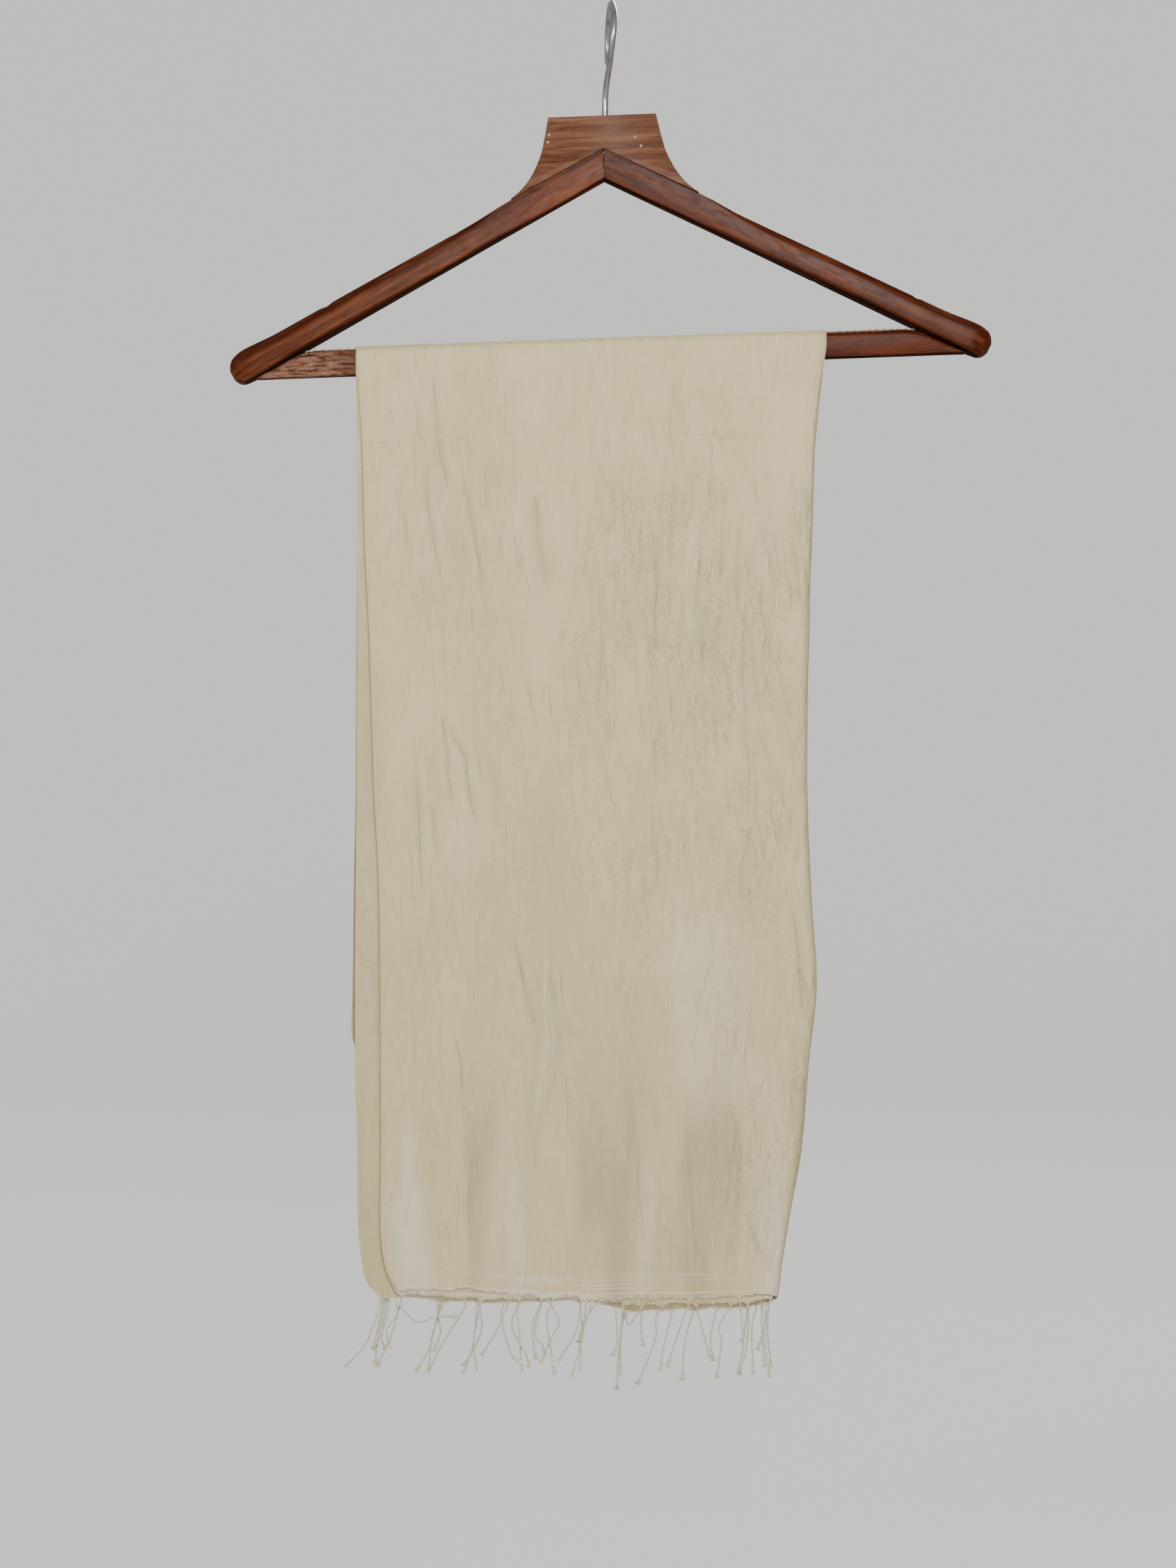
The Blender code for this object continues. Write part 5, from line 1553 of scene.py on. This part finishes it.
def thread_meshes(lines, radius, sides=4):
    """Points and faces of thin round threads along the given lines."""
    points = []
    faces = []
    for line in lines:
        line = np.asarray(line, float)
        tangents = np.gradient(line, axis=0)
        tangents /= np.linalg.norm(tangents, axis=1)[:, None] + 1e-12
        side = np.cross(tangents[0], (0.0, 1.0, 0.0))
        if np.linalg.norm(side) < 1e-3:
            side = np.cross(tangents[0], (1.0, 0.0, 0.0))
        first = len(points)
        for point, tangent in zip(line, tangents):
            side = side - tangent * np.dot(side, tangent)
            side /= np.linalg.norm(side)
            other = np.cross(tangent, side)
            for k in range(sides):
                angle = 2 * math.pi * k / sides
                points.append(point + radius * (side * math.cos(angle) + other * math.sin(angle)))
        for level in range(len(line) - 1):
            start = first + level * sides
            for k in range(sides):
                after = (k + 1) % sides
                faces.append((start + k, start + after, start + sides + after, start + sides + k))
        last = first + (len(line) - 1) * sides
        faces.append(tuple(first + k for k in range(sides)))
        faces.append(tuple(last + sides - 1 - k for k in range(sides)))
    return points, faces


def knot_and_brush(line, dice):
    """Threads of a strand's end: three turns of a small overhand knot, then a frayed brush."""
    line = np.asarray(line, float)
    tip = line[-1]
    way = line[-1] - line[-6]
    way /= np.linalg.norm(way)
    side = np.cross(way, (0.0, 1.0, 0.0))
    side /= np.linalg.norm(side)
    out = np.cross(way, side)
    knot_centre = tip - way * 4.0 * MM
    knots = []
    for twist in (0.0, 2.1, 4.2):
        ring = []
        for k in range(15):
            angle = 2 * math.pi * k / 14 + twist
            lift = 0.42 * MM * math.sin(angle * 2 + twist)
            ring.append(
                knot_centre + side * 0.66 * MM * math.cos(angle) + out * 0.66 * MM * math.sin(angle) + way * lift
            )
        knots.append(ring)
    brush = []
    spread = dice.uniform(0.7, 2.0)
    for _ in range(30):
        angle = dice.uniform(0.0, 2 * math.pi)
        reach = spread * dice.uniform(0.25, 1.0) * MM
        length = dice.uniform(0.72, 1.08) * 4.0 * MM
        start = knot_centre + way * 0.4 * MM
        ray = side * math.cos(angle) + out * math.sin(angle)
        sway = dice.uniform(-0.25, 0.25) * MM
        brush.append([
            start + ray * 0.2 * MM,
            start + way * length * 0.4 + ray * (0.3 * MM + reach * 0.3),
            start + way * length * 0.75 + ray * (0.35 * MM + reach * 0.7) + side * sway,
            start + way * length + ray * (0.35 * MM + reach) + side * sway * 2,
        ])
    return knots, brush


def fringe(edge, tree, material):
    """One ply's strands: twisted cords, gathered warp at their roots, knots and brushed ends."""
    dice = random.Random(len(edge) * 7)
    strands = [strand for strand in STRANDS if strand.edge == edge]
    lines = [strand_route(strand) for strand in strands]
    cords = grown(
        "fringe_cords", poly_curve("strand_lines", [line[:-4] for line in lines]), tree,
        Step=0.45 * MM, Thickness=1.22 * MM, **{"Twist Pitch": 2.6 * MM},
    )
    knots = []
    fine = []
    for line in lines:
        turns, brush = knot_and_brush(line, dice)
        knots += turns
        fine += brush
        root = np.array(line[0])
        for _ in range(9):
            reach = dice.uniform(-2.4, 2.4) * MM
            top = np.array(hem_place(edge, root[0] + reach))
            top[2] += dice.uniform(0.2, 1.0) * MM
            low = np.array(line[4])
            fine.append([top, (top * 0.55 + low * 0.45) - np.array((reach * 0.15, 0.0, 0.0)), low])
    knot_body = add_mesh("knots", *thread_meshes(knots, 0.4 * MM, 6))
    fine_body = add_mesh("fine_threads", *thread_meshes(fine, 0.13 * MM, 3))
    for body in (knot_body, fine_body):
        body.data.materials.append(material)
    cords.data.shade_smooth()
    return joined("silk_fringe_" + edge, [cords, knot_body, fine_body])


def hem_threads(material):
    """Loose last weft threads that wander along each hem."""
    dice = random.Random(41)
    lines = []
    spans = {"front": (-124.0, 96.5), "middle": (-124.0, 94.0), "rear": (-134.0, 96.5)}
    for edge, (low, high) in spans.items():
        for layer in range(4):
            start = low * MM
            while start < high * MM:
                end = min(start + dice.uniform(30.0, 90.0) * MM, high * MM)
                xs = np.arange(start, end, 1.2 * MM)
                if len(xs) < 4:
                    break
                phase = dice.uniform(0.0, 6.0)
                sway = dice.uniform(0.2, 0.75) * MM
                rate = dice.uniform(0.2, 0.5)
                line = []
                for x in xs:
                    point = hem_place(edge, float(x))
                    point[2] += sway * math.sin(x / MM * rate + phase) - layer * 0.2 * MM + 0.2 * MM
                    point[1] -= 0.12 * MM * math.sin(x / MM * 0.9 + phase)
                    line.append(point)
                lines.append(line)
                start = end + dice.uniform(-6.0, 5.0) * MM
    fuzz = []
    for edge, (low, high) in spans.items():
        for _ in range(420):
            top = hem_place(edge, dice.uniform(low, high) * MM)
            top[2] += dice.uniform(0.1, 0.6) * MM
            fall = dice.uniform(0.8, 2.4) * MM
            drift = dice.gauss(0.0, 0.9) * MM
            bow = dice.gauss(0.0, 0.3) * MM
            fuzz.append([
                top, top + np.array((drift * 0.4 + bow, -0.1 * MM, -fall * 0.55)),
                top + np.array((drift, -0.15 * MM, -fall)),
            ])
    body = add_mesh("hem_lines", *thread_meshes(lines, 0.16 * MM, 4))
    ends = add_mesh("hem_fuzz", *thread_meshes(fuzz, 0.065 * MM, 3))
    for item in (body, ends):
        item.data.materials.append(material)
    return joined("hem_weft_threads", [body, ends])


# Studio

def studio():
    """Pale floor swept up all round, a soft frontal key, a fill, and the camera where the photo was taken."""
    rows = ((3.0, -0.93), (3.25, -0.91), (3.42, -0.84), (3.54, -0.7), (3.6, -0.5), (3.6, 2.4))
    turns = 96
    points = []
    for reach, z in rows:
        for k in range(turns):
            angle = 2 * math.pi * k / turns
            points.append((reach * math.cos(angle), reach * math.sin(angle), z))
    faces = []
    for level in range(len(rows) - 1):
        start = level * turns
        for k in range(turns):
            after = (k + 1) % turns
            faces.append((start + k, start + turns + k, start + turns + after, start + after))
    faces.append(tuple(range(turns)))
    mesh = bpy.data.meshes.new("studio_sweep")
    mesh.from_pydata(points, [], faces)
    mesh.shade_smooth()
    sweep = bpy.data.objects.new("studio_sweep", mesh)
    bpy.context.scene.collection.objects.link(sweep)
    paper = Finish("studio_paper", Roughness=0.9)
    glow = paper.node("ShaderNodeLightPath") * 0.52 + 0.2
    paper.connect(glow, paper.shader.inputs["Emission Strength"])
    paper.shader.inputs["Base Color"].default_value = (0.22, 0.22, 0.215, 1.0)
    paper.shader.inputs["Emission Color"].default_value = (1.0, 0.995, 0.985, 1.0)
    mesh.materials.append(paper.material)

    def lamp(name, place, target, size, power, colour=(1.0, 1.0, 1.0)):
        data = bpy.data.lights.new(name, "AREA")
        data.shape = "DISK"
        data.size = size
        data.energy = power
        data.color = colour
        item = bpy.data.objects.new(name, data)
        item.location = place
        item.rotation_euler = (Vector(target) - Vector(place)).to_track_quat("-Z", "Y").to_euler()
        bpy.context.scene.collection.objects.link(item)

    lamp("key_light", (0.25, -2.3, 0.4), (0.0, 0.0, -0.45), 0.35, 47.0, (1.0, 0.98, 0.93))
    lamp("left_light", (-1.7, -1.5, 0.1), (0.0, 0.0, -0.45), 0.7, 9.5, (1.0, 0.98, 0.93))
    lamp("back_light", (0.6, 1.6, 0.9), (0.0, 0.0, -0.4), 0.9, 22.0)

    world = bpy.data.worlds.new("studio_air")
    world.use_nodes = True
    world.node_tree.nodes["Background"].inputs["Color"].default_value = (0.95, 0.94, 0.92, 1.0)
    world.node_tree.nodes["Background"].inputs["Strength"].default_value = 0.3
    bpy.context.scene.world = world

    data = bpy.data.cameras.new("camera")
    data.sensor_fit = "VERTICAL"
    data.sensor_height = 36.0
    data.lens = 74.0
    data.clip_start = 0.05
    camera = bpy.data.objects.new("camera", data)
    camera.location = (-0.0135, -1.891, -0.456)
    camera.rotation_euler = (math.pi / 2, 0.0, 0.0)
    bpy.context.scene.collection.objects.link(camera)
    bpy.context.scene.camera = camera


def settle(piece, slot, nodes, material=None):
    """Gives a piece its finish, its body and the CAD nodes that it stands for; its slot is not used."""
    if material is not None:
        piece.data.materials.clear()
        piece.data.materials.append(material)
    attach(piece, "root")
    if nodes:
        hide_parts(*nodes)


def main():
    studio()
    silk = silk_finish("ivory_silk")
    cord = cord_finish()
    arm_tones = (from_screen(52, 20, 8), from_screen(94, 44, 21), from_screen(132, 74, 45))
    # Painted shade colours for the arms' top edges and undersides.
    edge_shade_left = PaintedEdgeShade(arm_level(-1), 0.0028, 0.0098, from_screen(62, 22, 7))
    edge_shade_right = PaintedEdgeShade(arm_level(1), 0.0028, 0.0098, from_screen(66, 23, 9))
    arm_left_wood = wood_finish(
        "lacquered_wood_left", arm_tones, 0.2, ARM_SLOPE + TILT,
        knot=(-0.118, -0.008, -0.150), upper=edge_shade_left, seam_x=JOINT_X,
    )
    # The right arm's wood is darker and less glossy than the left arm's.
    arm_tones_right = (from_screen(44, 16, 6), from_screen(84, 37, 17), from_screen(118, 62, 36))
    arm_right_wood = wood_finish(
        "lacquered_wood_right", arm_tones_right, 0.16, TILT - ARM_SLOPE, upper=edge_shade_right, seam_x=JOINT_X,
    )
    bar_tones = (from_screen(44, 16, 6), from_screen(74, 30, 13), from_screen(102, 50, 28))
    # Bar wood: painted shade along its top edge and underside, and a paler streaky patch towards its left end.
    bar_wood = wood_finish(
        "lacquered_wood_bar", bar_tones, 0.06, TILT,
        upper=PaintedEdgeShade(BAR_TOP_Z - 1.0 * MM, 0.001, 0.0137, from_screen(70, 27, 11)),
        pale_streaks=PaleStreaks(-0.135, -0.17, from_screen(176, 136, 114)),
    )
    block_tones = (from_screen(84, 48, 32), from_screen(114, 74, 54), from_screen(142, 100, 78))
    block_wood = wood_finish(
        "block_wood", block_tones, 0.06, TILT,
        specks=((-0.0362, -0.0063, -0.0765), (-0.037, -0.0063, -0.0807), (0.0141, -0.0063, -0.0774),
                (0.0175, -0.0063, -0.0828)),
    )
    steel = steel_finish()
    ribs = rubber_finish("strip_ribs", from_screen(204, 186, 146), from_screen(232, 220, 186))
    strip = rubber_finish("strip_base", from_screen(96, 66, 42), from_screen(128, 96, 66))

    dents_left = (Dent(182.0, 0.7, 4.5), Dent(96.0, 0.25, 3.0))
    dents_right = (Dent(141.0, -0.6, 2.5), Dent(199.0, 0.55, 2.5))
    settle(hanger_arm("arm_wood_left", -1, dents_left), "lacquered_wood", ["hanger_arm_left"], arm_left_wood)
    settle(hanger_arm("arm_wood_right", 1, dents_right), "lacquered_wood", ["hanger_arm_right"], arm_right_wood)
    settle(hanger_block(), "block_wood", ["hanger_block"], block_wood)
    settle(hanger_bar(), "lacquered_wood", ["hanger_bar"], bar_wood)
    settle(grip_strip(ribs, strip), "grip_strip", ["hanger_grip_strip"])
    settle(hanger_hook(), "hook_steel", ["hanger_hook"], steel)

    front = silk_piece("silk_front_hang", FRONT_HANG, OUTER_HALF, 216, 12, (231, TURN_STEPS, 91))
    back = silk_piece("silk_back_hang", BACK_HANG, OUTER_HALF, 150, 12, (171, TURN_STEPS, 61))
    inner_front = silk_piece("silk_inner_front", FRONT_HANG, INNER_HALF, 130, 8, (151, TURN_STEPS, 61))
    inner_back = silk_piece("silk_inner_back", BACK_HANG, INNER_HALF, 100, 8, (121, TURN_STEPS, 45))
    settle(front, "ivory_silk", ["scarf_outer_half"], silk)
    settle(back, "ivory_silk", ["scarf_outer_half"], silk)
    settle(inner_front, "ivory_silk", ["scarf_inner_half"], silk)
    settle(inner_back, "ivory_silk", ["scarf_inner_half"], silk)

    tree = cord_tree(cord)
    for edge in ("front", "middle", "rear"):
        piece = fringe(edge, tree, cord)
        settle(piece, "silk_fringe", ["fringe_" + edge])
    wefts = hem_threads(cord)
    settle(wefts, "silk_fringe", [])


main()
